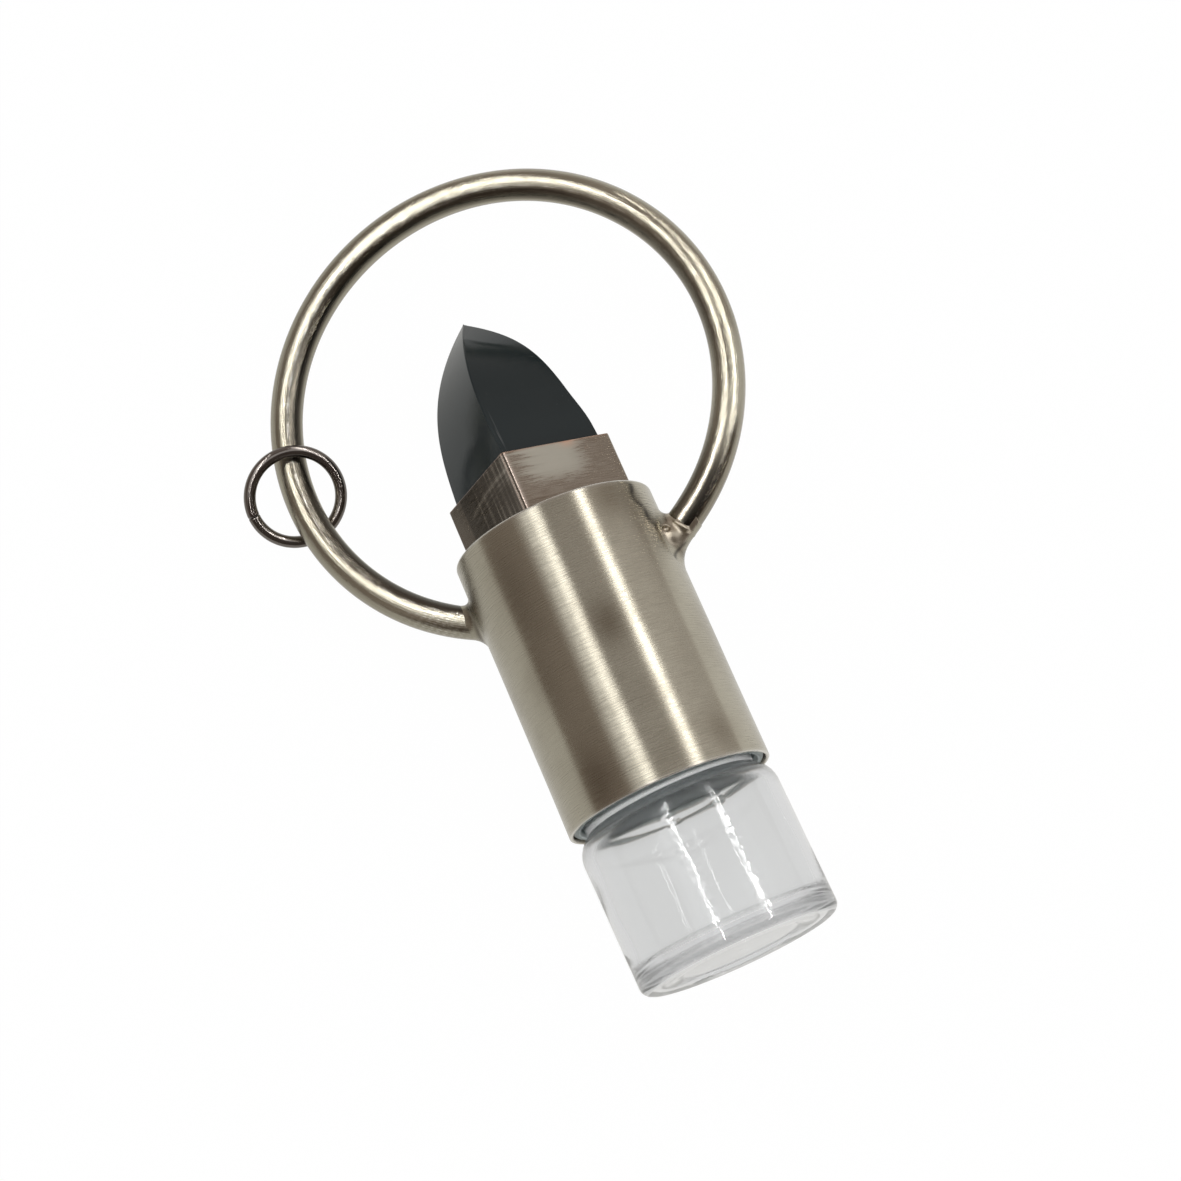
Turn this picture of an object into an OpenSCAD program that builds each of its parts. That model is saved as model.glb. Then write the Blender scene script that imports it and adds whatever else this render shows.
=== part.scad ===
// Bottle pendant lying on its side: a soldered metal cap with a square bezel and a big open ring,
// a pointed stone, a glass vial that screws into the cap, and a small split ring for a cord.
// Each piece is drawn standing, with the bottle's axis upright and the cap's top at height 0.
// lay_down() then turns the pendant so that the axis runs along Y and the cap rests on the floor.

/* [Cap] */
// Outer diameter of the cap's tube
cap_d = 22; // [20:0.5:27]
// Length of the cap's tube
cap_len = 31; // [26:0.5:40]
// Wall of the cap's tube
cap_wall = 0.4; // [0.3:0.05:0.8]
// Thickness of the plate that closes the cap
top_t = 1; // [0.6:0.1:2]
// Bevel round the cap's top edge
top_bevel = 0.25; // [0.1:0.05:0.5]
// Bevel inside the cap's open edge
mouth_bevel = 0.15; // [0.05:0.05:0.25]

/* [Bezel] */
// Outer side of the square bezel
bezel_side = 13.6; // [11:0.1:14]
// Height of the bezel above the cap
bezel_h = 7; // [4:0.1:10]
// Wall of the bezel
bezel_wall = 0.7; // [0.5:0.05:1.2]
// Flat cut along each upright corner of the bezel
bezel_bevel = 0.25; // [0.1:0.05:0.6]
// Angle from the big ring's plane to a corner of the bezel
bezel_turn = -2; // [-10:1:10]

/* [Stone] */
// Height of the stone's point above the bezel
stone_h = 18.4; // [12:0.2:24]
// Share of the stone's width that is lost evenly over its height
stone_taper = 0.12; // [0.05:0.01:0.3]
// How late the stone's faces turn in to the point
stone_power = 3.2; // [2:0.1:4.5]
// Width of the blunt end of the point
stone_tip = 0.3; // [0.2:0.05:1]
// Clearance between the stone and the metal round it
stone_gap = 0.06; // [0.03:0.01:0.15]
// How far below the point the flat chip starts
chip_drop = 0.1; // [0.05:0.05:0.6]
// Slope of the chip from the upright
chip_slope = 54; // [48:1:60]
// Angle that the chip is turned from the front towards the right ridge
chip_turn = 6; // [0:1:12]

/* [Big ring] */
// Diameter of the big ring along the middle of its wire
ring_d = 48.9; // [44:0.1:60]
// Diameter of the big ring's wire
wire_d = 3.5; // [2.6:0.1:4.4]
// Height of the big ring's middle above the cap
ring_up = 15.6; // [13:0.1:18]
// Sideways offset of the big ring's middle
ring_side = 0.6; // [-0.6:0.1:0.8]

/* [Solder] */
// How deep the wire and its solder reach into the cap's side
wire_sink = 2; // [1.6:0.1:2.4]
// Length of each solder cone along the wire
solder_len = 2.2; // [1:0.1:3]
// How far the solder spreads past the wire on the left
solder_spread_left = 0.9; // [0.4:0.1:1.5]
// How far the solder spreads past the wire on the right
solder_spread_right = 1.2; // [0.4:0.1:1.6]
// Radius of the solder bead beside the right joint
bead_r = 1.3; // [0.8:0.1:1.7]
// Angle round the cap from the right joint to the bead
bead_turn = 14; // [8:1:20]
// Length of the solder that ran down below the right joint
run_len = 5; // [3:0.1:7]
// Radius of that solder at its lower end
run_r = 1.4; // [1:0.1:1.8]

/* [Inner cap] */
// Height of the light metal screw cap inside the tube
inner_h = 12.5; // [9:0.1:18]
// Wall of the inner cap
inner_wall = 0.4; // [0.3:0.05:0.6]
// Radius of the bead rolled round the inner cap's edge
roll_r = 0.45; // [0.35:0.05:0.7]
// Clearance between the inner cap and the tube
inner_gap = 0.1; // [0.05:0.01:0.2]
// How far the inner cap's edge lies inside the tube's edge
inner_recess = 0.3; // [0.1:0.05:0.6]
// Clearance between the vial's neck and the closed end of the inner cap
seat_gap = 0.3; // [0.2:0.05:0.6]

/* [Vial] */
// Length of the vial that shows below the cap
vial_show = 17.3; // [13:0.1:30]
// How far the glass stands in from the cap's side
vial_inset = 0.2; // [0.1:0.05:0.5]
// Wall of the vial
glass_wall = 1.1; // [0.8:0.05:1.5]
// Wall of the vial's neck
neck_wall = 1.5; // [1:0.1:2]
// Clearance between the neck and the inner cap
neck_gap = 0.3; // [0.2:0.05:0.5]
// Thickness of the vial's bottom
base_t = 1.6; // [1.2:0.1:2.5]
// Radius of the shoulder's curve
shoulder_r = 3; // [2.6:0.1:4]
// Radius round the bottom edge
base_round = 1; // [0.5:0.1:1.4]
// Radius round the inner edge of the bottom
floor_round = 1.6; // [1:0.1:2]
// Radius of the shallow hollow under the bottom
punt_r = 7.5; // [5:0.1:8]
// Depth of the hollow under the bottom
punt_h = 0.35; // [0.2:0.05:0.6]
// Share of the hollow's radius over which it is flat
punt_flat = 0.8; // [0.6:0.05:0.9]
// Lean of the vial to the right, about the middle of the cap's open edge
vial_lean = 1.2; // [0:0.1:1.5]

/* [Jump ring] */
// Inner diameter of the split jump ring
jump_d = 8.6; // [8:0.1:12]
// Diameter of the jump ring's wire
jump_wire_d = 1.3; // [1:0.1:1.6]
// Clearance between the jump ring and the big ring where they cross
jump_gap = 0.12; // [0.05:0.01:0.3]
// How far the jump ring's middle lies outside the big ring's wire
jump_out = 0.4; // [0:0.1:0.6]
// How far the jump ring's middle lies above the big ring's middle
jump_up = 0.6; // [0:0.1:1]
// Width of the cut in the jump ring
jump_cut = 0.08; // [0.05:0.01:0.3]
// Where the cut lies round the jump ring
cut_angle = 186; // [150:1:220]

/* [Hidden] */
$fn = 96;
// Overlap that joins solids and clears cut faces
eps = 0.02;

// Cap and bezel
cap_r = cap_d / 2;
bore_r = cap_r - cap_wall;
mouth_z = -cap_len;
seat_side = bezel_side - 2 * bezel_wall;

// Big ring: where its wire meets the cap's side, as angles from straight down
ring_r = ring_d / 2;
wire_r = wire_d / 2;
meet_right = asin((cap_r - ring_side) / ring_r);
meet_left = asin((cap_r + ring_side) / ring_r);
end_right = asin((cap_r - wire_sink - ring_side) / ring_r);
end_left = asin((cap_r - wire_sink + ring_side) / ring_r);
joint_right_z = ring_up - ring_r * cos(meet_right);

// Inner cap and vial
inner_r = bore_r - inner_gap;
inner_edge_z = mouth_z + inner_recess;
roll_in_r = inner_r - 2 * roll_r;
neck_r = roll_in_r - neck_gap;
neck_bore_r = neck_r - neck_wall;
neck_top_z = inner_edge_z + inner_h - inner_wall - seat_gap - neck_r * sin(vial_lean);
body_r = cap_r - vial_inset;
base_z = mouth_z - vial_show;
base_low_z = mouth_z - (vial_show - base_round) * cos(vial_lean) - (body_r - base_round) * sin(vial_lean) - base_round;
shoulder_x = body_r - shoulder_r;
shoulder_z = mouth_z - shoulder_r;
shoulder_top = acos((neck_r - shoulder_x) / shoulder_r);
shoulder_in_r = shoulder_r - glass_wall;
// Where the inside of the shoulder ends at the neck's bore, as an angle up from level
shoulder_in_top = 80;
// Steps in each arc of the vial's outline
arc_steps = 8;

// Jump ring: it leans over the wire with its low side on the floor
jump_wire_r = jump_wire_d / 2;
jump_r = jump_d / 2 + jump_wire_r;
wire_sag = jump_r * jump_r / (2 * ring_r);
reach = sqrt(jump_r * jump_r - pow(wire_sag + jump_out, 2));
lean = asin((jump_wire_r + wire_r + jump_gap) / reach);
jump_mid_h = jump_wire_r + jump_r * sin(lean);
roll_near = asin((cap_r - jump_mid_h) / (ring_r - ring_side));
wire_h = jump_mid_h - wire_sag * sin(roll_near);

// Rest: the pendant rolls until the big ring's wire lies in the jump ring
roll = asin((cap_r - wire_h) / (ring_r - ring_side));
jump_x = (ring_side - ring_r) * cos(roll) - jump_out;
mid_x = ((ring_side + ring_r) * cos(roll) + wire_r + jump_x - jump_r - jump_wire_r) / 2;
mid_y = (ring_up + ring_r + wire_r + base_low_z) / 2;

// Stone: half its width at a share of its height, and its flat-sided outline
stone_half = seat_side / 2 - stone_gap;
stone_steps = 20;
function stone_w(u) = max(
    stone_tip / 2,
    stone_half * (1 - stone_taper * u - (1 - stone_taper) * pow(u, stone_power))
);
stone_side = [for (i = [0 : stone_steps]) let (u = i / stone_steps) [stone_w(u), bezel_h + stone_h * u]];
stone_outline = concat(
    [[-stone_half, stone_gap], [stone_half, stone_gap]],
    stone_side,
    [for (i = [stone_steps : -1 : 0]) [-stone_side[i][0], stone_side[i][1]]]
);

// Points along an arc round a centre, from one angle to another
function arc(x, z, r, from, to, steps = arc_steps) = [
    for (i = [0 : steps]) let (a = from + (to - from) * i / steps) [x + r * cos(a), z + r * sin(a)]
];

// Turns a standing piece to where the pendant lies on the floor
module lay_down() {
    translate([-mid_x, -mid_y, cap_r]) rotate([0, -roll, 0]) rotate([-90, 0, 0]) children();
}

// Upright square tube or bar with its corners cut flat
module square_bar(side, bevel, h) {
    half = side / 2;
    flat = half - bevel;
    linear_extrude(height = h) polygon([
        [half, -flat], [half, flat], [flat, half], [-flat, half],
        [-half, flat], [-half, -flat], [-flat, -half], [flat, -half]
    ]);
}

// Tube that is closed at the top and bevelled at both edges
module cap_shell() {
    rotate_extrude() polygon([
        [0, 0],
        [cap_r - top_bevel, 0],
        [cap_r, -top_bevel],
        [cap_r, mouth_z],
        [bore_r + mouth_bevel, mouth_z],
        [bore_r, mouth_z + mouth_bevel],
        [bore_r, -top_t],
        [0, -top_t]
    ]);
}

module bezel() {
    rotate([0, 0, 45 + bezel_turn]) difference() {
        translate([0, 0, -eps]) square_bar(bezel_side, bezel_bevel, bezel_h + eps);
        translate([-seat_side / 2, -seat_side / 2, 0]) cube([seat_side, seat_side, 2 * bezel_h]);
    }
}

// Solder round the wire's end: side is 1 on the right and -1 on the left
module solder_cone(side, meet, spread) {
    rotate([0, 0, -90 + side * meet])
        translate([ring_r, 0, 0])
            rotate([side * 90, 0, 0])
                rotate_extrude() polygon([
                    [0, -solder_len],
                    [wire_r, -solder_len],
                    [wire_r + spread, 0],
                    [wire_r + spread, wire_sink],
                    [0, wire_sink]
                ]);
}

// Big open ring with solder cones, standing in the XZ plane
module big_ring() {
    translate([ring_side, 0, ring_up]) rotate([90, 0, 0]) {
        rotate([0, 0, -90 + end_right])
            rotate_extrude(angle = 360 - end_right - end_left)
                translate([ring_r, 0]) circle(r = wire_r);
        solder_cone(1, meet_right, solder_spread_right);
        solder_cone(-1, meet_left, solder_spread_left);
    }
}

// Bead of solder beside the right joint and the solder that ran down from it
module solder_drops() {
    rotate([0, 0, -bead_turn]) translate([cap_r - bead_r / 2, 0, joint_right_z]) sphere(r = bead_r);
    translate([cap_r - bead_r, 0, joint_right_z - wire_r - run_len])
        cylinder(r1 = run_r, r2 = wire_r + bead_r / 2, h = run_len);
}

module metal_body() {
    color([0.46, 0.44, 0.40]) lay_down() union() {
        cap_shell();
        bezel();
        difference() {
            union() {
                big_ring();
                solder_drops();
            }
            translate([0, 0, mouth_z]) cylinder(r = bore_r + cap_wall / 2, h = cap_len - top_t / 2);
        }
    }
}

// Square stone with curved faces that meet in a point, chipped flat beside the point
module stone() {
    color([0.12, 0.13, 0.13]) lay_down() rotate([0, 0, 45 + bezel_turn]) difference() {
        intersection() {
            rotate([90, 0, 0])
                linear_extrude(height = 2 * stone_half, center = true) polygon(stone_outline);
            rotate([90, 0, 90])
                linear_extrude(height = 2 * stone_half, center = true) polygon(stone_outline);
        }
        translate([0, 0, bezel_h + stone_h - chip_drop])
            rotate([0, chip_slope, chip_turn - 90])
                translate([-bezel_side, -bezel_side, 0]) cube([2 * bezel_side, 2 * bezel_side, bezel_side]);
    }
}

// Light metal screw cap, closed at the top, with a rolled edge
module inner_cap() {
    color([0.66, 0.70, 0.72]) lay_down() rotate_extrude() polygon(concat(
        [[0, inner_edge_z + inner_h], [inner_r, inner_edge_z + inner_h]],
        arc(inner_r - roll_r, inner_edge_z + roll_r, roll_r, 0, acos((roll_r - inner_wall) / roll_r) - 360, 3 * arc_steps),
        [[inner_r - inner_wall, inner_edge_z + inner_h - inner_wall]],
        [[0, inner_edge_z + inner_h - inner_wall]]
    ));
}

// Hollow glass vial: neck, round shoulder, straight body, rounded bottom with a shallow hollow
module vial() {
    outline = concat(
        [[neck_bore_r, neck_top_z], [neck_r, neck_top_z]],
        arc(shoulder_x, shoulder_z, shoulder_r, shoulder_top, 0),
        arc(body_r - base_round, base_z + base_round, base_round, 0, -90),
        [[punt_r, base_z], [punt_r * punt_flat, base_z + punt_h], [0, base_z + punt_h]],
        [[0, base_z + base_t]],
        arc(body_r - glass_wall - floor_round, base_z + base_t + floor_round, floor_round, -90, 0),
        arc(shoulder_x, shoulder_z, shoulder_in_r, 0, shoulder_in_top),
        [[neck_bore_r, shoulder_z + shoulder_in_r]]
    );
    color([0.82, 0.85, 0.85, 0.45]) lay_down()
        translate([0, 0, mouth_z]) rotate([0, -vial_lean, 0]) translate([0, 0, -mouth_z])
            rotate_extrude() polygon(outline);
}

// Split jump ring, drawn where it lies
module jump_ring() {
    cut_turn = 360 * jump_cut / (2 * PI * jump_r);
    color([0.30, 0.28, 0.26])
        translate([jump_x - mid_x, ring_up + jump_up - mid_y, jump_mid_h])
            rotate([lean, 0, 0])
                rotate([0, 0, cut_angle + cut_turn / 2])
                    rotate_extrude(angle = 360 - cut_turn)
                        translate([jump_r, 0]) circle(r = jump_wire_r);
}

metal_body();
stone();
inner_cap();
vial();
jump_ring();
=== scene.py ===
import logging
import math
from dataclasses import dataclass, field
from enum import Enum
from typing import Callable, ClassVar, Optional, Sequence

import bpy
import numpy as np
from mathutils import Matrix, Vector


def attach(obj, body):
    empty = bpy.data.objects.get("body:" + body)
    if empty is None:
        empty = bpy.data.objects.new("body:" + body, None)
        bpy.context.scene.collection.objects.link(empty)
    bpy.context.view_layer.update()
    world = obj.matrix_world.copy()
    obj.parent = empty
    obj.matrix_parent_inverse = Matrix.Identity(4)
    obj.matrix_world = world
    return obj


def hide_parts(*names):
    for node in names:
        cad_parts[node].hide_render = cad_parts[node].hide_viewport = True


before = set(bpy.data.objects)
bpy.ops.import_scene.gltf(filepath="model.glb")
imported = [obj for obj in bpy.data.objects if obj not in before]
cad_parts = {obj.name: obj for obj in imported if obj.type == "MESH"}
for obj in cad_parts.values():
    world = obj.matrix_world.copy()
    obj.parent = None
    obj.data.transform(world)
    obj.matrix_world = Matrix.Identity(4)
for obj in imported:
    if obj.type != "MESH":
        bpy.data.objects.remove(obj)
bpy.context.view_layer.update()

# Bottle pendant, lying on its side: a soldered metal cap with a bezel, a pointed stone, a big open ring,
# a screw-in glass vial and a small split ring. Shapes are worked out in the pendant's own millimetres:
# X to the right, Y along the bottle's axis towards the stone with the cap's top at 0, and Z along the
# normal of the big ring's plane. Rest.lay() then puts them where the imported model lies, in metres.

LOG = logging.getLogger("pendant")
MM = 0.001
TURN = 2.0 * math.pi
Row = Sequence[float]
Colour = tuple[float, float, float]
Stops = tuple[tuple[float, float], ...]


class Slot(Enum):
    """The record's material slots."""

    GUNMETAL = "gunmetal"
    STONE = "black_stone"
    INNER_CAP = "inner_cap_metal"
    GLASS = "clear_glass"
    DARK = "dark_gunmetal"


@dataclass(frozen=True)
class Rest:
    """How the pendant lies: turned about its axis by roll, its middle over the origin."""

    roll: float = math.radians(19.473)
    mid_x: float = -1.5593
    mid_y: float = -3.3508
    cap_r: float = 11.0

    def lay(self, points: np.ndarray) -> np.ndarray:
        """Turns and moves points from the pendant's millimetres to the row frame's metres.

        x = X cos(roll) - Z sin(roll) - mid_x, y = Y - mid_y, z = X sin(roll) + Z cos(roll) + cap_r.

        Args:
            points: any array whose last axis is X, Y, Z.
        Returns:
            The same array in metres, in the row frame.
        """
        x, y, z = points[..., 0], points[..., 1], points[..., 2]
        c, s = math.cos(self.roll), math.sin(self.roll)
        return MM * np.stack([x * c - z * s - self.mid_x, y - self.mid_y, x * s + z * c + self.cap_r], -1)


REST = Rest()


@dataclass
class Skin:
    """A closed mesh: points, four-sided and three-sided faces, and a flat map for each face corner."""

    points: np.ndarray
    quads: np.ndarray
    tris: np.ndarray
    quad_map: np.ndarray
    tri_map: np.ndarray
    marks: dict[str, np.ndarray] = field(default_factory=dict)

    def volume(self) -> float:
        """Signed volume: the sum over all triangles of a . (b x c) / 6.

        Returns:
            The volume, above zero if the faces look outwards.
        """
        t = np.concatenate([self.quads[:, [0, 1, 2]], self.quads[:, [0, 2, 3]], self.tris])
        a, b, c = (self.points[t[:, i]] for i in range(3))
        return float(np.einsum("ij,ij->i", a, np.cross(b, c)).sum() / 6.0)

    def outward(self) -> "Skin":
        """Turns every face round if the mesh is inside out.

        Returns:
            The mesh with its faces looking outwards.
        """
        if self.volume() < 0:
            self.quads, self.quad_map = self.quads[:, ::-1], self.quad_map[:, ::-1]
            self.tris, self.tri_map = self.tris[:, ::-1], self.tri_map[:, ::-1]
        return self

    def mark(self, name: str, values: np.ndarray, rows: int, hubs: tuple[float, float] = (0.0, 0.0)) -> None:
        """Spreads a mark's values over the rings of a capped loft.

        Args:
            name: the mark.
            values: its values, shaped to spread over rows by columns.
            rows: number of rings.
            hubs: its values at the middles of the two ends.
        """
        columns = (len(self.points) - 2) // rows
        self.marks[name] = np.append(np.broadcast_to(values, (rows, columns)).ravel(), hubs)

    def piece(self, name: str) -> bpy.types.Object:
        """Makes the Blender object, with a "brush" map in millimetres and the marks as point attributes.

        Args:
            name: the piece's name.
        Returns:
            The object, at the origin, unturned and unscaled.
        """
        self.outward()
        mesh = bpy.data.meshes.new(name)
        loops = np.concatenate([self.quads.ravel(), self.tris.ravel()]).astype(np.int32)
        nq, nt = len(self.quads), len(self.tris)
        starts = np.concatenate([np.arange(nq) * 4, nq * 4 + np.arange(nt) * 3]).astype(np.int32)
        mesh.vertices.add(len(self.points))
        mesh.vertices.foreach_set("co", self.points.astype(np.float32).ravel())
        mesh.loops.add(len(loops))
        mesh.loops.foreach_set("vertex_index", loops)
        mesh.polygons.add(nq + nt)
        mesh.polygons.foreach_set("loop_start", starts)
        mesh.polygons.foreach_set("use_smooth", np.ones(nq + nt, bool))
        mesh.update(calc_edges=True)
        uv = mesh.uv_layers.new(name="brush")
        flat = np.concatenate([self.quad_map.reshape(-1, 2), self.tri_map.reshape(-1, 2)])
        uv.data.foreach_set("uv", flat.astype(np.float32).ravel())
        for mark, values in self.marks.items():
            layer = mesh.attributes.new(mark, "FLOAT", "POINT")
            layer.data.foreach_set("value", values.astype(np.float32).ravel())
        mesh.validate()
        obj = bpy.data.objects.new(name, mesh)
        bpy.context.scene.collection.objects.link(obj)
        return obj


def loft(rings: np.ndarray, chart: Optional[np.ndarray] = None) -> Skin:
    """Skins a row of closed rings, and closes each end with a fan of triangles about its ring's mean point.

    Ring i, column j is a point; faces join (i, j), (i, j+1), (i+1, j+1), (i+1, j), with the columns
    wrapping round.

    Args:
        rings: points, shaped rings x columns x 3, in the row frame.
        chart: flat map in millimetres, shaped like the rings with one more column x 2.
    Returns:
        The closed mesh.
    """
    n, m = rings.shape[:2]
    if chart is None:
        chart = np.zeros((n, m + 1, 2))
    i, j = (g.ravel() for g in np.meshgrid(np.arange(n - 1), np.arange(m), indexing="ij"))
    corner = [(i, j), (i, j + 1), (i + 1, j + 1), (i + 1, j)]
    quads = np.stack([a * m + b % m for a, b in corner], 1)
    quad_map = np.stack([chart[a, b] for a, b in corner], 1)
    points = np.concatenate([rings.reshape(-1, 3), rings[0].mean(0)[None], rings[-1].mean(0)[None]])
    col, last = np.arange(m), (n - 1) * m
    low = np.stack([np.full(m, n * m), (col + 1) % m, col], 1)
    high = np.stack([np.full(m, n * m + 1), last + col, last + (col + 1) % m], 1)
    hubs = [np.broadcast_to(chart[k, :m].mean(0), (m, 2)) for k in (0, n - 1)]
    tri_map = np.concatenate([
        np.stack([hubs[0], chart[0, col + 1], chart[0, col]], 1),
        np.stack([hubs[1], chart[n - 1, col], chart[n - 1, col + 1]], 1),
    ])
    return Skin(points, quads, np.concatenate([low, high]), quad_map, tri_map)


def arc(x: float, y: float, r: float, start: float, end: float, steps: int) -> np.ndarray:
    """Points on an arc: (x + r cos a, y + r sin a) for angles a from start to end, in degrees.

    Args:
        x: centre's first coordinate.
        y: centre's second coordinate.
        r: radius.
        start: first angle.
        end: last angle.
        steps: number of spaces between points.
    Returns:
        The points, steps + 1 by 2.
    """
    a = np.radians(np.linspace(start, end, steps + 1))
    return np.stack([x + r * np.cos(a), y + r * np.sin(a)], -1)


def line(a: Row, b: Row, steps: int) -> np.ndarray:
    """Points on a straight line from a to b, without b.

    Args:
        a: first end.
        b: last end.
        steps: number of points.
    Returns:
        The points, steps by the ends' size.
    """
    t = np.arange(steps)[:, None] / steps
    return np.asarray(a, float) * (1 - t) + np.asarray(b, float) * t


def rise(value: np.ndarray, low: "float | np.ndarray", high: "float | np.ndarray") -> np.ndarray:
    """A smooth step: 0 below low, 1 above high, and 3 t^2 - 2 t^3 of the share t between them."""
    t = np.clip((value - low) / (high - low), 0.0, 1.0)
    return t * t * (3 - 2 * t)


def peak(value: np.ndarray, middle: "float | np.ndarray", width: "float | np.ndarray") -> np.ndarray:
    """A smooth bump: exp(-((value - middle) / width)^2), which is 1 at the middle."""
    return np.exp(-((value - middle) / width) ** 2)


def pair(a: np.ndarray, b: np.ndarray) -> np.ndarray:
    """A flat map of a and b, spread over one grid, with the two as its last axis."""
    return np.stack(np.broadcast_arrays(a, b), -1)


def travel(points: np.ndarray) -> np.ndarray:
    """How far along a line of flat points each one lies: 0, then the sum of the steps so far."""
    return np.concatenate([[0.0], np.cumsum(np.hypot(*np.diff(points, axis=0).T))])


def ripple(u: np.ndarray, v: np.ndarray, seed: int, waves: int = 5) -> np.ndarray:
    """Gentle unevenness: a mean of sine waves sin(k u + l v + phase), with whole k so that it closes round u.

    Args:
        u: angle round the piece, in radians.
        v: place along the piece, in millimetres.
        seed: which waves are drawn.
        waves: how many there are.
    Returns:
        Values from about -1 to 1, shaped like u + v.
    """
    rng = np.random.default_rng(seed)
    k, l, p = rng.integers(1, 5, waves), rng.uniform(0.1, 0.6, waves), rng.uniform(0, TURN, waves)
    return sum(np.sin(a * u + b * v + c) for a, b, c in zip(k, l, p)) / math.sqrt(waves)


def lathe(profile: np.ndarray, steps: int, uneven: float, seed: int) -> Skin:
    """Turns a profile about the bottle's axis and lays it down.

    The point (r, y) becomes (r cos a, y, r sin a) for angles a round the axis. Its flat map holds the
    way round the outer wall and the way along the profile, in millimetres.

    Args:
        profile: radius and height, in the pendant's millimetres.
        steps: number of columns round.
        uneven: how far the radius wanders, in millimetres.
        seed: which waves the unevenness has.
    Returns:
        The mesh, capped at both ends.
    """
    a = np.arange(steps) * TURN / steps
    r, y = profile[:, :1], profile[:, 1:]
    radius = r + uneven * ripple(a[None, :], y, seed) * (r > 1)
    rings = np.stack([radius * np.cos(a), np.broadcast_to(y, radius.shape), radius * np.sin(a)], -1)
    round_ = np.arange(steps + 1) * TURN / steps * profile[:, 0].max()
    return loft(REST.lay(rings), pair(round_[None, :], travel(profile)[:, None]))


def smooth_min(a: np.ndarray, b: np.ndarray, k: "float | np.ndarray") -> np.ndarray:
    """The smaller of two distances, blended over k: min(a, b) - max(k - |a - b|, 0)^2 / (4 k).

    Args:
        a: first distance.
        b: second distance.
        k: width of the blend.
    Returns:
        The blended distance.
    """
    return np.minimum(a, b) - np.maximum(k - np.abs(a - b), 0.0) ** 2 / (4.0 * k)


def net(field_of: Callable[[np.ndarray], np.ndarray], low: Row, high: Row,
        step: float) -> tuple[np.ndarray, np.ndarray]:
    """Skins the surface where a field is zero, by surface nets: one point in each cell that the surface
    crosses, at the mean of its edge crossings, moved twice along the gradient onto the surface, and one
    face for each grid edge whose ends lie on different sides.

    Args:
        field_of: gives the field at an array of points, below zero inside.
        low: lowest corner of the grid, in millimetres.
        high: highest corner of the grid.
        step: cell size.
    Returns:
        The surface's points in millimetres, and its four-sided faces.
    """
    axes = [np.arange(a, b, step) for a, b in zip(low, high)]
    grid = np.stack(np.meshgrid(*axes, indexing="ij"), -1)
    f = field_of(grid)
    inside = f < 0
    n = np.array(f.shape) - 1
    corners = [(x, y, z) for x in (0, 1) for y in (0, 1) for z in (0, 1)]

    def at(values: np.ndarray, c: tuple[int, int, int]) -> np.ndarray:
        """The values at one corner of every cell."""
        return values[c[0]:c[0] + n[0], c[1]:c[1] + n[1], c[2]:c[2] + n[2]]

    total, count = np.zeros((*n, 3)), np.zeros(tuple(n))
    for a in corners:
        for b in corners:
            if sum(b) - sum(a) == 1 and all(q >= p for p, q in zip(a, b)):
                cross = at(inside, a) != at(inside, b)
                fa, fb = at(f, a), at(f, b)
                t = np.where(cross, fa / np.where(cross, fa - fb, 1.0), 0.0)
                place = np.asarray(a, float) + t[..., None] * (np.asarray(b, float) - np.asarray(a, float))
                total += np.where(cross[..., None], place, 0.0)
                count += cross
    used = count > 0
    index = np.full(tuple(n), -1)
    index[used] = np.arange(int(used.sum()))
    cell = np.argwhere(used)
    points = np.asarray(low, float) + step * (cell + total[used] / count[used][:, None])
    quads = []
    for axis in range(3):
        p, q = (axis + 1) % 3, (axis + 2) % 3
        head = np.moveaxis(inside, (axis, p, q), (0, 1, 2))
        table = np.moveaxis(index, (axis, p, q), (0, 1, 2))
        change = head[:-1, 1:-1, 1:-1] != head[1:, 1:-1, 1:-1]
        i, j, k = np.argwhere(change).T
        face = np.stack([table[i, j, k], table[i, j + 1, k], table[i, j + 1, k + 1], table[i, j, k + 1]], 1)
        back = head[:-1, 1:-1, 1:-1][i, j, k]
        quads.append(np.where(back[:, None], face, face[:, ::-1]))
    small = 1e-3
    for _ in range(2):
        value = field_of(points)
        slope = np.stack([field_of(points + small * e) - value for e in np.eye(3)], -1) / small
        move = value[:, None] * slope / np.maximum((slope ** 2).sum(-1, keepdims=True), 0.05)
        points = points - np.clip(move, -step / 3, step / 3)
    return points, np.concatenate(quads)


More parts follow.
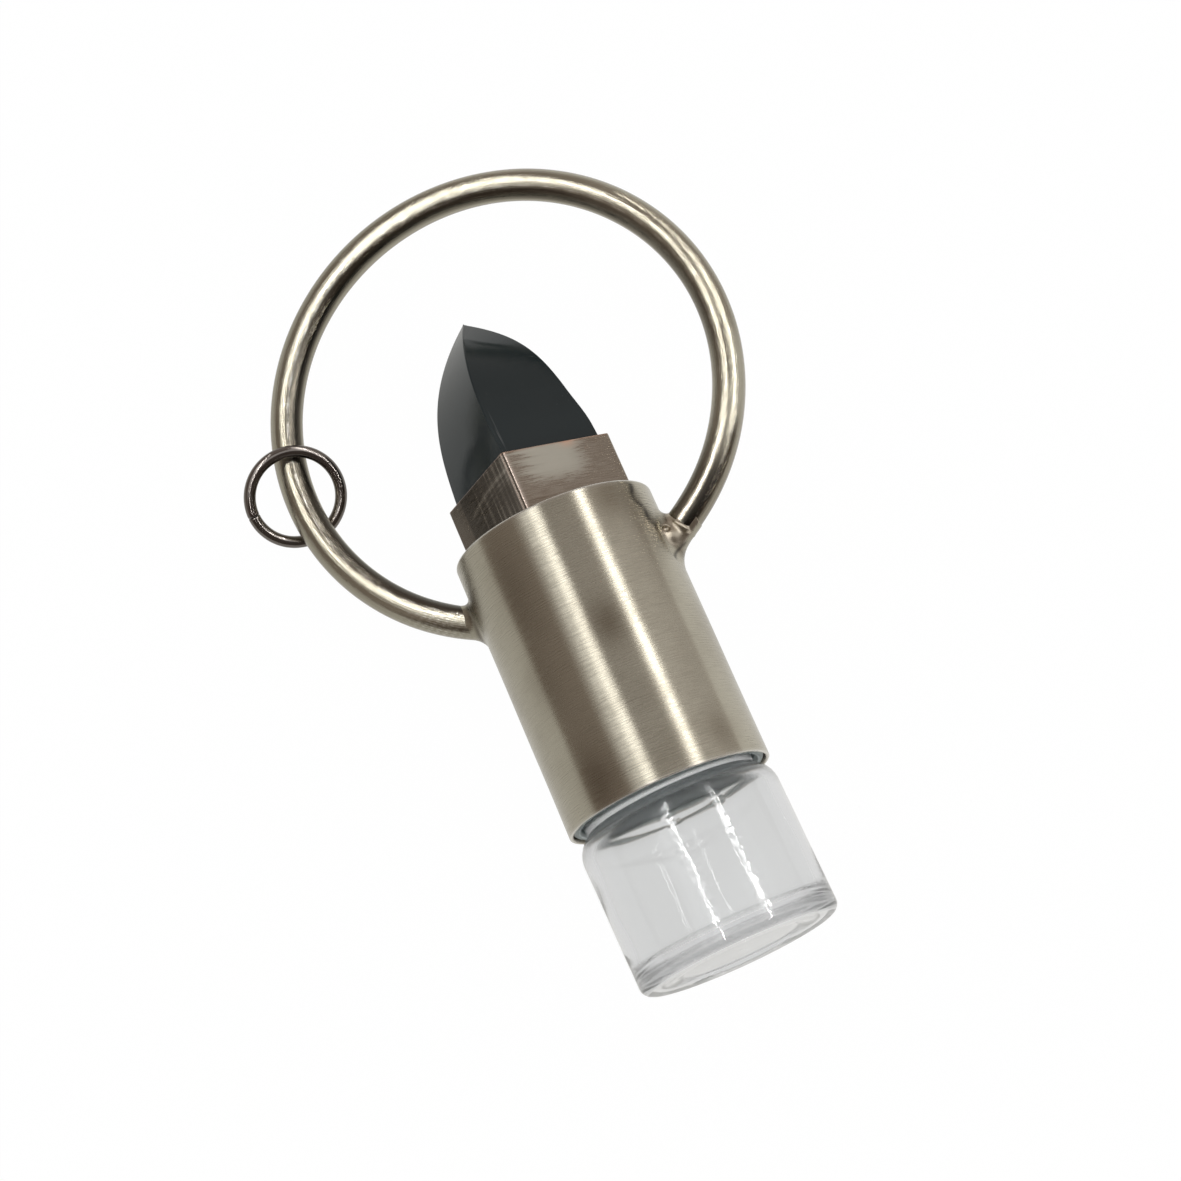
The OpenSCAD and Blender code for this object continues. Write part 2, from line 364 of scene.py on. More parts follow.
class Bench:
    """Places and links the nodes of one material, group or world."""

    def __init__(self, tree: bpy.types.NodeTree) -> None:
        """Starts on an empty tree.

        Args:
            tree: the node tree to fill.
        """
        self.tree = tree
        tree.nodes.clear()

    def put(self, kind: str, sockets: Optional[dict] = None, **settings: object) -> bpy.types.Node:
        """Adds a node.

        Args:
            kind: the node's type without the leading ShaderNode.
            sockets: values or links for its inputs, by name or number.
            settings: the node's own settings.
        Returns:
            The node.
        """
        node = self.tree.nodes.new(kind if kind.startswith("Node") else "ShaderNode" + kind)
        for key, value in settings.items():
            setattr(node, key, value)
        for key, value in (sockets or {}).items():
            if isinstance(value, bpy.types.NodeSocket):
                self.tree.links.new(value, node.inputs[key])
            elif isinstance(value, (tuple, list)) and node.inputs[key].type == "RGBA" and len(value) == 3:
                node.inputs[key].default_value = (*value, 1.0)
            else:
                node.inputs[key].default_value = value
        return node

    def group(self, tree: bpy.types.NodeTree, **sockets: object) -> bpy.types.Node:
        """Adds a group node.

        Args:
            tree: the group.
            sockets: values or links for its inputs, by name.
        Returns:
            The node.
        """
        return self.put("Group", sockets, node_tree=tree)

    def sum(self, operation: str, *values: object) -> bpy.types.NodeSocket:
        """A Math node.

        Args:
            operation: its operation.
            values: its inputs, as numbers or sockets.
        Returns:
            Its output.
        """
        return self.put("Math", dict(enumerate(values)), operation=operation).outputs[0]

    def mix(self, share: object, a: object, b: object) -> bpy.types.NodeSocket:
        """Mixes two colours.

        Args:
            share: how much of the second one shows.
            a: first colour.
            b: second colour.
        Returns:
            The mixed colour.
        """
        return self.put("Mix", {0: share, 6: a, 7: b}, data_type="RGBA").outputs[2]

    def span(self, value: object, low: object, high: object, to_low: float = 0.0,
             to_high: float = 1.0) -> bpy.types.NodeSocket:
        """Maps a value smoothly from one span to another, clamped.

        Args:
            value: what is mapped.
            low: start of its span, as a number or a socket.
            high: end of its span, likewise.
            to_low: what the start becomes.
            to_high: what the end becomes.
        Returns:
            The mapped value.
        """
        sockets = {0: value, 1: low, 2: high, 3: to_low, 4: to_high}
        return self.put("MapRange", sockets, interpolation_type="SMOOTHSTEP").outputs[0]

    def blend(self, share: object, first: bpy.types.Node, second: bpy.types.Node) -> bpy.types.Node:
        """Mixes two shaders.

        Args:
            share: how much of the second one shows.
            first: first shader's node.
            second: second shader's node.
        Returns:
            The node that mixes them.
        """
        return self.put("MixShader", {0: share, 1: first.outputs[0], 2: second.outputs[0]})

    def place(self) -> bpy.types.NodeSocket:
        """Object coordinates: metres from the origin of the row frame."""
        return self.put("TexCoord").outputs["Object"]

    def chart(self) -> bpy.types.NodeSocket:
        """The piece's flat map: millimetres along its brush marks and across them."""
        return self.put("UVMap", uv_map="brush").outputs[0]

    def mark(self, name: str) -> bpy.types.NodeSocket:
        """One of the skin's marks, read from its point attribute."""
        return self.put("Attribute", attribute_name=name).outputs["Fac"]


class EffectGroups:
    """Shader node groups that several finishes share, each built once."""

    def __init__(self) -> None:
        """Builds the groups."""
        self.hair = self._hair()
        self.clouds = self._clouds()

    @staticmethod
    def _shell(name: str, inputs: dict[str, str],
               outputs: dict[str, str]) -> tuple[bpy.types.NodeTree, Bench]:
        """An empty group with its sockets.

        Args:
            name: the group's name.
            inputs: socket types by name.
            outputs: socket types by name.
        Returns:
            The group and a bench on it.
        """
        tree = bpy.data.node_groups.new(name, "ShaderNodeTree")
        for way, sockets in (("INPUT", inputs), ("OUTPUT", outputs)):
            for socket, kind in sockets.items():
                tree.interface.new_socket(socket, in_out=way, socket_type="NodeSocket" + kind)
        return tree, Bench(tree)

    def _hair(self) -> bpy.types.NodeTree:
        """Brush marks: noise drawn out along the map's first axis, and a sparser set of deeper marks.

        Returns:
            The group.
        """
        tree, b = self._shell("brush_marks", {"Map": "Vector", "Length": "Float", "Width": "Float"},
                              {"Marks": "Float", "Deep": "Float"})
        into = b.put("NodeGroupInput")
        size = b.put("CombineXYZ", {0: into.outputs["Length"], 1: into.outputs["Width"], 2: 1.0})
        place = b.put("VectorMath", {0: into.outputs["Map"], 1: size.outputs[0]}, operation="DIVIDE")
        fine = b.put("TexNoise", {"Vector": place.outputs[0], "Scale": 1.0, "Detail": 3.0, "Roughness": 0.65})
        broad = b.put("VectorMath", {0: place.outputs[0], 1: (0.37, 0.31, 7.0)}, operation="MULTIPLY")
        deep = b.put("TexNoise", {"Vector": broad.outputs[0], "Scale": 1.0, "Detail": 2.0, "Roughness": 0.7})
        out = b.put("NodeGroupOutput")
        tree.links.new(b.span(fine.outputs[0], 0.25, 0.75), out.inputs["Marks"])
        tree.links.new(b.span(deep.outputs[0], 0.58, 0.74), out.inputs["Deep"])
        return tree

    def _clouds(self) -> bpy.types.NodeTree:
        """Patches: broad noise in Object coordinates, with a low and a high limit.

        Returns:
            The group.
        """
        tree, b = self._shell("patches", {"Vector": "Vector", "Scale": "Float", "Low": "Float",
                                          "High": "Float"}, {"Mask": "Float"})
        given = b.put("NodeGroupInput").outputs
        noise = b.put("TexNoise", {"Vector": given["Vector"], "Scale": given["Scale"], "Detail": 4.0,
                                   "Roughness": 0.55})
        mask = b.span(noise.outputs[0], given["Low"], given["High"])
        tree.links.new(mask, b.put("NodeGroupOutput").inputs["Mask"])
        return tree


def new_material(name: str) -> tuple[bpy.types.Material, Bench]:
    """An empty node material.

    Args:
        name: its name.
    Returns:
        The material and a bench on its tree.
    """
    material = bpy.data.materials.new(name)
    material.use_nodes = True
    return material, Bench(material.node_tree)


@dataclass(frozen=True)
class BrushedMetal:
    """Plated metal with marks along the brush map's first axis, which draw its gloss out across them.

    Point attributes change it from place to place: the wear mark makes it brighter, for real wear and for
    painted highlights and painted light; pale makes it lighter and rougher, as rubbed metal, and in one place
    is a painted reflection; warm makes it coppery; the browning mark makes it browner, for tarnished metal
    and for painted shade; and dark makes it nearly black, for dark lines, painted shade, a painted shadow
    and painted dark reflections.
    """

    name: str
    base: Colour
    shade: Colour
    warm: Colour = (0.60, 0.40, 0.30)
    rough_low: float = 0.24
    rough_high: float = 0.36
    drawn: float = 0.85
    mark_length: float = 1.6
    mark_width: float = 0.11
    deep_share: float = 0.14
    bump: float = 0.25
    patch_scale: float = 130.0
    patch_share: float = 0.35
    speck_scale: float = 2600.0
    speck_share: float = 0.5
    tarnish_and_shade_tone: Colour = (0.42, 0.37, 0.33)
    wear_and_painted_light_tone: Colour = (0.84, 0.83, 0.79)
    pale_tone: Colour = (0.56, 0.54, 0.47)
    dark_tone: Colour = (0.03, 0.026, 0.022)

    def material(self, groups: EffectGroups) -> bpy.types.Material:
        """Builds the material.

        Args:
            groups: the shared effects.
        Returns:
            The material.
        """
        material, b = new_material(self.name)
        place = b.place()
        hair = b.group(groups.hair, Map=b.chart(), Length=self.mark_length, Width=self.mark_width)
        patch = b.group(groups.clouds, Vector=place, Scale=self.patch_scale, Low=0.42, High=0.68)
        specks = b.group(groups.clouds, Vector=place, Scale=self.speck_scale, Low=0.70, High=0.76)
        marks, deep, mask = hair.outputs["Marks"], hair.outputs["Deep"], patch.outputs["Mask"]
        wear_and_painted_light, pale, warm, tarnish_and_shade, dark = map(b.mark, ("wear_and_painted_light", "pale", "warm", "tarnish_and_shade", "dark"))
        tone = b.mix(b.sum("MULTIPLY", mask, self.patch_share), self.base, self.shade)
        tone = b.mix(b.sum("MULTIPLY", marks, 0.25), tone, tuple(0.72 * c for c in self.base))
        tone = b.mix(b.sum("MULTIPLY", deep, self.deep_share), tone, tuple(0.4 * c for c in self.shade))
        streak = b.sum("MULTIPLY_ADD", b.sum("SUBTRACT", marks, 0.5), 0.7, pale)
        pale = b.sum("MULTIPLY", pale, b.span(streak, 0.1, 0.8))
        # Browner for tarnished metal and for painted shade.
        tone = b.mix(b.sum("MULTIPLY", tarnish_and_shade, b.span(marks, 0.1, 0.8, 1.0, 0.7)), tone,
                     tuple(c * w for c, w in zip(self.base, self.tarnish_and_shade_tone)))
        tone = b.mix(b.sum("MULTIPLY", pale, 0.75), tone, self.pale_tone)
        # Brighter for real wear and for painted highlights and painted light.
        tone = b.mix(b.sum("MULTIPLY", wear_and_painted_light, 0.85), tone, self.wear_and_painted_light_tone)
        tone = b.mix(b.sum("MULTIPLY", specks.outputs["Mask"], self.speck_share), tone, self.warm)
        tone = b.mix(warm, tone, self.warm)
        # Nearly black for dark lines, and for painted shade, a painted shadow and painted dark reflections.
        tone = b.mix(dark, tone, self.dark_tone)
        rough = b.span(marks, 0.0, 1.0, self.rough_low, self.rough_high)
        rough = b.sum("ADD", rough, b.sum("MULTIPLY", mask, 0.04))
        rough = b.sum("ADD", rough, b.sum("MULTIPLY", pale, 0.22))
        bump = b.put("Bump", {"Strength": self.bump, "Distance": 0.00002, "Height": marks})
        along = b.put("Tangent", direction_type="UV_MAP", uv_map="brush").outputs[0]
        shader = b.put("BsdfPrincipled", {"Base Color": tone, "Metallic": 1.0, "Roughness": rough,
                                          "Anisotropic": self.drawn, "Anisotropic Rotation": 0.25,
                                          "Tangent": along, "Normal": bump.outputs[0]})
        b.put("OutputMaterial", {"Surface": shader.outputs[0]})
        return material


@dataclass(frozen=True)
class VolcanicGlass:
    """Nearly black, polished stone with a faint cool cast, soft bloom and hairline scratches."""

    name: str = "volcanic_glass"
    base: Colour = (0.0100, 0.0155, 0.0170)
    pale: Colour = (0.014, 0.018, 0.018)
    speck_tone: Colour = (0.2, 0.2, 0.19)
    scratch_tone: Colour = (0.62, 0.62, 0.6)
    roughness: float = 0.16

    def material(self, groups: EffectGroups) -> bpy.types.Material:
        """Builds the material.

        Args:
            groups: the shared effects.
        Returns:
            The material.
        """
        material, b = new_material(self.name)
        place = b.place()
        patch = b.group(groups.clouds, Vector=place, Scale=130.0, Low=0.4, High=0.75)
        specks = b.group(groups.clouds, Vector=place, Scale=1900.0, Low=0.72, High=0.78)
        hair = b.group(groups.hair, Map=b.chart(), Length=4.0, Width=0.12)
        tone = b.mix(b.sum("MULTIPLY", patch.outputs[0], 0.35), self.base, self.pale)
        tone = b.mix(b.sum("MULTIPLY", specks.outputs[0], 0.25), tone, self.speck_tone)
        tone = b.mix(b.sum("MULTIPLY", b.mark("wear_and_painted_light"), hair.outputs["Deep"]), tone, self.scratch_tone)
        rough = b.span(patch.outputs[0], 0.0, 1.0, self.roughness - 0.04, self.roughness + 0.06)
        bump = b.put("Bump", {"Strength": 0.08, "Distance": 0.00002, "Height": hair.outputs["Marks"]})
        shader = b.put("BsdfPrincipled", {"Base Color": tone, "Roughness": rough, "IOR": 1.37,
                                          "Normal": bump.outputs[0]})
        b.put("OutputMaterial", {"Surface": shader.outputs[0]})
        return material


@dataclass(frozen=True)
class ClearGlass:
    """Clear pressed glass whose surface is finely rippled, cloudier where the attribute haze says so."""

    name: str = "clear_glass"
    tint: Colour = (0.97, 0.975, 0.972)
    ripple_scale: float = 1500.0
    ripple: float = 0.42
    haze: float = 0.22

    def material(self) -> bpy.types.Material:
        """Builds the material.

        Returns:
            The material.
        """
        material, b = new_material(self.name)
        noise = b.put("TexNoise", {"Vector": b.place(), "Scale": self.ripple_scale, "Detail": 0.5,
                                   "Roughness": 0.5})
        height = b.sum("MULTIPLY", noise.outputs[0], b.mark("outside"))
        bump = b.put("Bump", {"Strength": self.ripple, "Distance": 0.0001, "Height": height})
        haze = b.sum("MULTIPLY", b.mark("haze"), self.haze)
        shader = b.put("BsdfPrincipled", {"Base Color": self.tint, "Roughness": haze, "IOR": 1.5,
                                          "Transmission Weight": 1.0, "Normal": bump.outputs[0]})
        b.put("OutputMaterial", {"Surface": shader.outputs[0]})
        return material


@dataclass(frozen=True)
class Metrics:
    """The sizes that several pieces share, in millimetres, as in the part's source."""

    cap_r: float = 11.0
    cap_len: float = 31.0
    cap_wall: float = 0.4
    top_t: float = 1.0
    ring_r: float = 24.28
    ring_oval: float = 0.18
    wire_r: float = 1.75
    ring_up: float = 15.52
    ring_side: float = 0.67
    bezel_turn: float = math.radians(-2.0)

    @property
    def bore_r(self) -> float:
        """Inner radius of the cap's tube."""
        return self.cap_r - self.cap_wall

    @property
    def mouth(self) -> float:
        """Height of the cap's open edge."""
        return -self.cap_len

    def ring_at(self, a: np.ndarray) -> np.ndarray:
        """Radius of the ring's middle line: R - oval cos 2a, for angles a from straight down."""
        return self.ring_r - self.ring_oval * np.cos(2 * a)

    def ring_end(self, side: int, reach: float) -> float:
        """Angle from straight down at which the ring's middle line is at X = side * reach."""
        return math.asin((reach - side * self.ring_side) / (self.ring_r - 0.1))

    def wire_at(self, p: np.ndarray) -> tuple[np.ndarray, np.ndarray, np.ndarray]:
        """Where points lie about the ring's wire.

        Args:
            p: points in the pendant's millimetres.
        Returns:
            Angle round the ring from straight down, distance outwards from the middle line, and the
            distance from the middle line.
        """
        x, y = p[..., 0] - self.ring_side, self.ring_up - p[..., 1]
        a = np.arctan2(x, y)
        out = np.hypot(x, y) - self.ring_at(a)
        return a, out, np.hypot(out, p[..., 2])


SIZE = Metrics()


class Part:
    """A sub-assembly: one piece that rides on a body, has a slot of the record and stands for a CAD node."""

    body: ClassVar[str] = "pendant"
    slot: ClassVar[Slot] = Slot.GUNMETAL
    node: ClassVar[str] = "metal_body"

    def build(self) -> bpy.types.Object:
        """Makes the bare piece. Each sub-assembly has its own way.

        Returns:
            The piece.
        """
        raise NotImplementedError

    def dressed(self, *materials: bpy.types.Material) -> bpy.types.Object:
        """Builds the piece, gives it its materials and body, hides the CAD node that it stands for, and
        reports it.

        Args:
            materials: its materials, in the order of its faces' numbers.
        Returns:
            The piece.
        """
        obj = self.build()
        which = np.zeros(len(obj.data.polygons), np.int32)
        obj.data.polygons.foreach_get("material_index", which)
        obj.data.materials.clear()
        for material in materials:
            obj.data.materials.append(material)
        obj.data.polygons.foreach_set("material_index", which)
        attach(obj, self.body)
        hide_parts(self.node)
        LOG.info("%s: %d points, %d faces, on %s", obj.name, len(obj.data.vertices), len(obj.data.polygons),
                 self.body)
        return obj


@dataclass(frozen=True)
class Stain:
    """A place on the tube: angle and height of its middle, half width, half length and strength."""

    angle: float
    height: float
    half_angle: float
    half_height: float
    strength: float

    def at(self, angle: np.ndarray, height: np.ndarray) -> np.ndarray:
        """Strength times a peak over the angle, wrapped to half a turn, times a peak over the height."""
        turn = (angle - self.angle + 180) % 360 - 180
        return self.strength * peak(turn, 0, self.half_angle) * peak(height, self.height, self.half_height)


@dataclass
class CapTube(Part):
    """The metal tube: closed top with a rounded edge, long brushed wall, thin rim round the mouth."""

    top_round: float = 0.3
    rim_round: float = 0.12
    steps: int = 360
    uneven: float = 0.012
    stains: tuple[Stain, ...] = (
        Stain(75, -14.3, 9, 2.6, 0.95), Stain(118, -7, 14, 6, 0.5), Stain(114, -28.5, 13, 3.5, 0.8),
        Stain(40, -28.5, 9, 3.0, 0.6), Stain(46, -1.5, 12, 2.6, 0.85), Stain(30, -5.0, 7, 6.0, 0.6),
        Stain(124, -17, 8, 4, 0.4), Stain(240, -12, 30, 6, 0.5), Stain(310, -22, 25, 4, 0.5),
    )

    def build(self) -> bpy.types.Object:
        """Turns the tube's profile, from the top's middle over the wall and the rim to the inside.

        Returns:
            The piece.
        """
        r, bore, mouth, e = SIZE.cap_r, SIZE.bore_r, SIZE.mouth, self.rim_round
        profile = np.concatenate([
            [[0.6, 0.0]], line((3, 0), (r - self.top_round, 0), 12),
            arc(r - self.top_round, -self.top_round, self.top_round, 90, 0, 8),
            line((r, -self.top_round), (r, mouth + e), 100)[1:],
            arc(r - e, mouth + e, e, 0, -90, 5), arc(bore + e, mouth + e, e, -90, -180, 5),
            line((bore, mouth + e), (bore, -SIZE.top_t), 12)[1:], [[bore, -SIZE.top_t], [1.0, -SIZE.top_t]],
        ])
        skin = lathe(profile, self.steps, self.uneven, 4)
        self.marks(skin, profile[:, :1], profile[:, 1:])
        return skin.piece("cap_tube")

    def marks(self, skin: Skin, radius: np.ndarray, y: np.ndarray) -> None:
        """Puts marks on the wall: painted highlights on both rims, the stains, darker hidden faces, and a
        dark seam that wanders down from the top beside the right solder joint.

        Args:
            skin: the mesh.
            radius: the profile's radius, one row a ring.
            y: the profile's height.
        """
        r, bore, rows = SIZE.cap_r, SIZE.bore_r, len(y)
        angle = (np.arange(self.steps) * 360.0 / self.steps)[None, :]
        # Painted highlights along the top's rounded edge and round the mouth's rim.
        top_rim_glint = peak(radius, r - 0.08, 0.14) * peak(y, -0.1, 0.14)
        mouth_rim_glint = 0.7 * peak(y, SIZE.mouth, 0.1) * (radius > bore + 0.2)
        # Darker and browner on the hidden faces: the inside of the tube and the flat top round the bezel.
        hidden = 0.8 * (radius < bore + 0.1) + 0.8 * ((y > -0.01) & (radius < r - 0.4))
        track = 27 - 9 * np.clip((-y - 2.5) / 3.5, 0, 1) + 1.5 * np.sin(2.3 * y)
        seam = peak(angle, track, 2.1) * np.clip(1.2 + 0.6 * np.sin(4.1 * y), 0, 1)
        skin.mark("wear_and_painted_light", top_rim_glint + mouth_rim_glint, rows)
        skin.mark("tarnish_and_shade", np.clip(sum(stain.at(angle, y) for stain in self.stains) + hidden, 0, 1), rows)
        skin.mark("dark", 0.85 * seam * (y < -0.4) * np.clip((y + 6.5) / 1.5, 0, 1), rows)


@dataclass
class Bezel(Part):
    """The square sheet-metal bezel round the stone, with rounded upright corners and a coppery rim rubbed
    through its plating.
    """

    side: float = 13.6
    height: float = 7.0
    wall: float = 0.7
    corner_r: float = 0.34
    rim_round: float = 0.12
    sink: float = 0.4
    edge_steps: int = 110
    corner_steps: int = 24
    groove: float = 0.09
    groove_width: float = 0.1
    # Upright scratches of the left face: place u, half width, strength.
    upright: tuple[Row, ...] = (
        (0.44, 0.008, 0.5), (0.55, 0.02, 0.35), (0.66, 0.006, 0.7), (0.72, 0.012, 0.5), (0.81, 0.02, 0.4),
        (0.88, 0.006, 0.7), (0.95, 0.015, 0.5),
    )
    # Curved scratches across it: height v, slope, half width, strength.
    curved: tuple[Row, ...] = ((0.62, 0.45, 0.03, 0.45), (0.50, 0.5, 0.01, 0.3), (0.38, 0.6, 0.012, 0.2))

    @staticmethod
    def square(half: float, radius: float, arc_steps: int, edge_steps: int) -> np.ndarray:
        """A rounded square: four arcs of a radius about the corners' centres, with straight sides between.

        Args:
            half: half its width.
            radius: the corners' radius.
            arc_steps: spaces in each corner.
            edge_steps: spaces in each side.
        Returns:
            Its points, counted from the first corner.
        """
        c = half - radius
        corners = [arc(x, y, radius, 90 * k, 90 * k + 90, arc_steps)
                   for k, (x, y) in enumerate(((c, c), (-c, c), (-c, -c), (c, -c)))]
        sides = [line(a[-1], b[0], edge_steps)[1:] for a, b in zip(corners, corners[1:] + corners[:1])]
        return np.concatenate([part for both in zip(corners, sides) for part in both])

    def build(self) -> bpy.types.Object:
        """Lofts the rounded square up the outside, over the rim and down the inside.

        Returns:
            The piece.
        """
        half, h, e = self.side / 2, self.height, self.rim_round
        inset = half - self.wall
        path = np.concatenate([
            line((half, -self.sink), (half, h - e), 44), arc(half - e, h - e, e, 0, 90, 4),
            arc(inset + e, h - e, e, 90, 180, 4), line((inset, h - e), (inset, 0.2), 8)[1:], [[inset, 0.2]],
        ])
        squares = np.stack([self.square(w, max(0.06, self.corner_r - (half - w)), self.corner_steps,
                                        self.edge_steps) for w in path[:, 0]])
        sunk = self.groove * peak(self.from_front(squares.shape[1]), 0, self.groove_width)
        squares = squares + (sunk * (path[:, :1] > half - 0.3) / math.sqrt(2))[..., None]
        turn = math.pi / 4 + SIZE.bezel_turn
        x, s = squares[..., 0], squares[..., 1]
        rings = np.stack([x * math.cos(turn) - s * math.sin(turn),
                          np.broadcast_to(path[:, 1:], x.shape),
                          -(x * math.sin(turn) + s * math.cos(turn))], -1)
        round_ = travel(np.concatenate([squares[0], squares[0][:1]]))
        skin = loft(REST.lay(rings), pair(round_[None, :], travel(path)[:, None]))
        self.marks(skin, path, squares.shape[1])
        return skin.piece("bezel")

    def from_front(self, columns: int) -> np.ndarray:
        """Way of each column from the front corner's middle, in millimetres round its arc."""
        steps = np.arange(columns)[None, :] - 2 * (columns // 4) - self.corner_steps / 2
        return steps / self.corner_steps * self.corner_r * math.pi / 2

    def marks(self, skin: Skin, path: np.ndarray, columns: int) -> None:
        """Puts marks on the faces: place u runs along each side from its first corner, v up the sheet.

        The right face has a rubbed patch with a ragged edge and a coppery spot. The left face is darker, with
        a painted reflection as a light strip at its far edge and with upright and curved scratches. The front
        corner has two bright lines, rubbed plating with a painted highlight, and painted shade in the groove
        between them. The foot has a painted shadow, the inner wall is darker, and the rim has a coppery edge.

        Args:
            skin: the mesh.
            path: the profile's half width and height.
            columns: points in each square.
        """
        per_side = columns // 4
        j = np.arange(columns)[None, :]
        side = j // per_side
        u = np.clip((j % per_side - self.corner_steps) / self.edge_steps, 0, 1)
        v = np.clip(path[:, 1:] / self.height, 0, 1)
        ragged = 0.05 * np.sin(38 * v + 3 * u) + 0.035 * np.sin(91 * v + 1) + 0.02 * np.sin(171 * v + 2)
        right, left = side == 2, side == 1
        patch = right * rise(u, ragged - 0.1, 0.3 + ragged) * (1 - rise(u, 0.52, 0.9)) * rise(v, 0.2, 0.66)
        # Painted reflection: a light strip at the far edge of the left face.
        strip = left * rise(u, 0.02, 0.05) * (1 - rise(u, 0.2, 0.26)) * 0.2
        upright = sum(k * peak(u, c + 0.012 * v, w) for c, w, k in self.upright)
        curved = sum(k * peak(v, c + b * (u - 0.3) - 0.4 * (u - 0.3) ** 2, w) for c, b, w, k in self.curved)
        lines = upright * (0.75 + 0.35 * np.sin(7 * v + 9 * u)) + curved * rise(u, 0.24, 0.36)
        way = self.from_front(columns)
        # Two bright lines at the front corner, rubbed plating with a painted highlight, and painted shade
        # along the groove between them.
        double, seam = peak(np.abs(way), 0.21, 0.07), peak(way, 0, 0.09)
        # The rim's coppery edge, and a painted shadow along the foot.
        rim, foot = peak(path[:, 1:], self.height, 0.12), peak(path[:, 1:], 0, 0.25)
        spot = right * peak(u, 0.6, 0.07) * rise(v, 0.84, 0.98)
        hidden = path[:, :1] < self.side / 2 - 0.4
        # The left face darker, less so at its far strip and along its scratches; then a painted shadow at the
        # foot, the inner wall darker, and painted shade in the corner's groove.
        left_darker = left * (0.74 - 0.25 * (u < 0.2) - 0.85 * np.clip(lines, 0, 0.8))
        shaded = np.clip(left_darker + 0.5 * foot + 0.4 * hidden + 0.8 * seam, 0, 1)
        values = {
            "pale": patch + strip,
            "warm": 0.8 * rim + 0.75 * spot + 0.5 * double,
            "wear_and_painted_light": 0.9 * double + 0.3 * left * lines * (v > 0.02),
            "tarnish_and_shade": left * 0.95 + right * (0.8 + 0.2 * (v < 0.2)) + 0.5 * (side % 3 == 0) + hidden,
            "dark": shaded * (1 - 0.9 * double),
        }
        for name, value in values.items():
            skin.mark(name, np.clip(value, 0, 1), len(path))


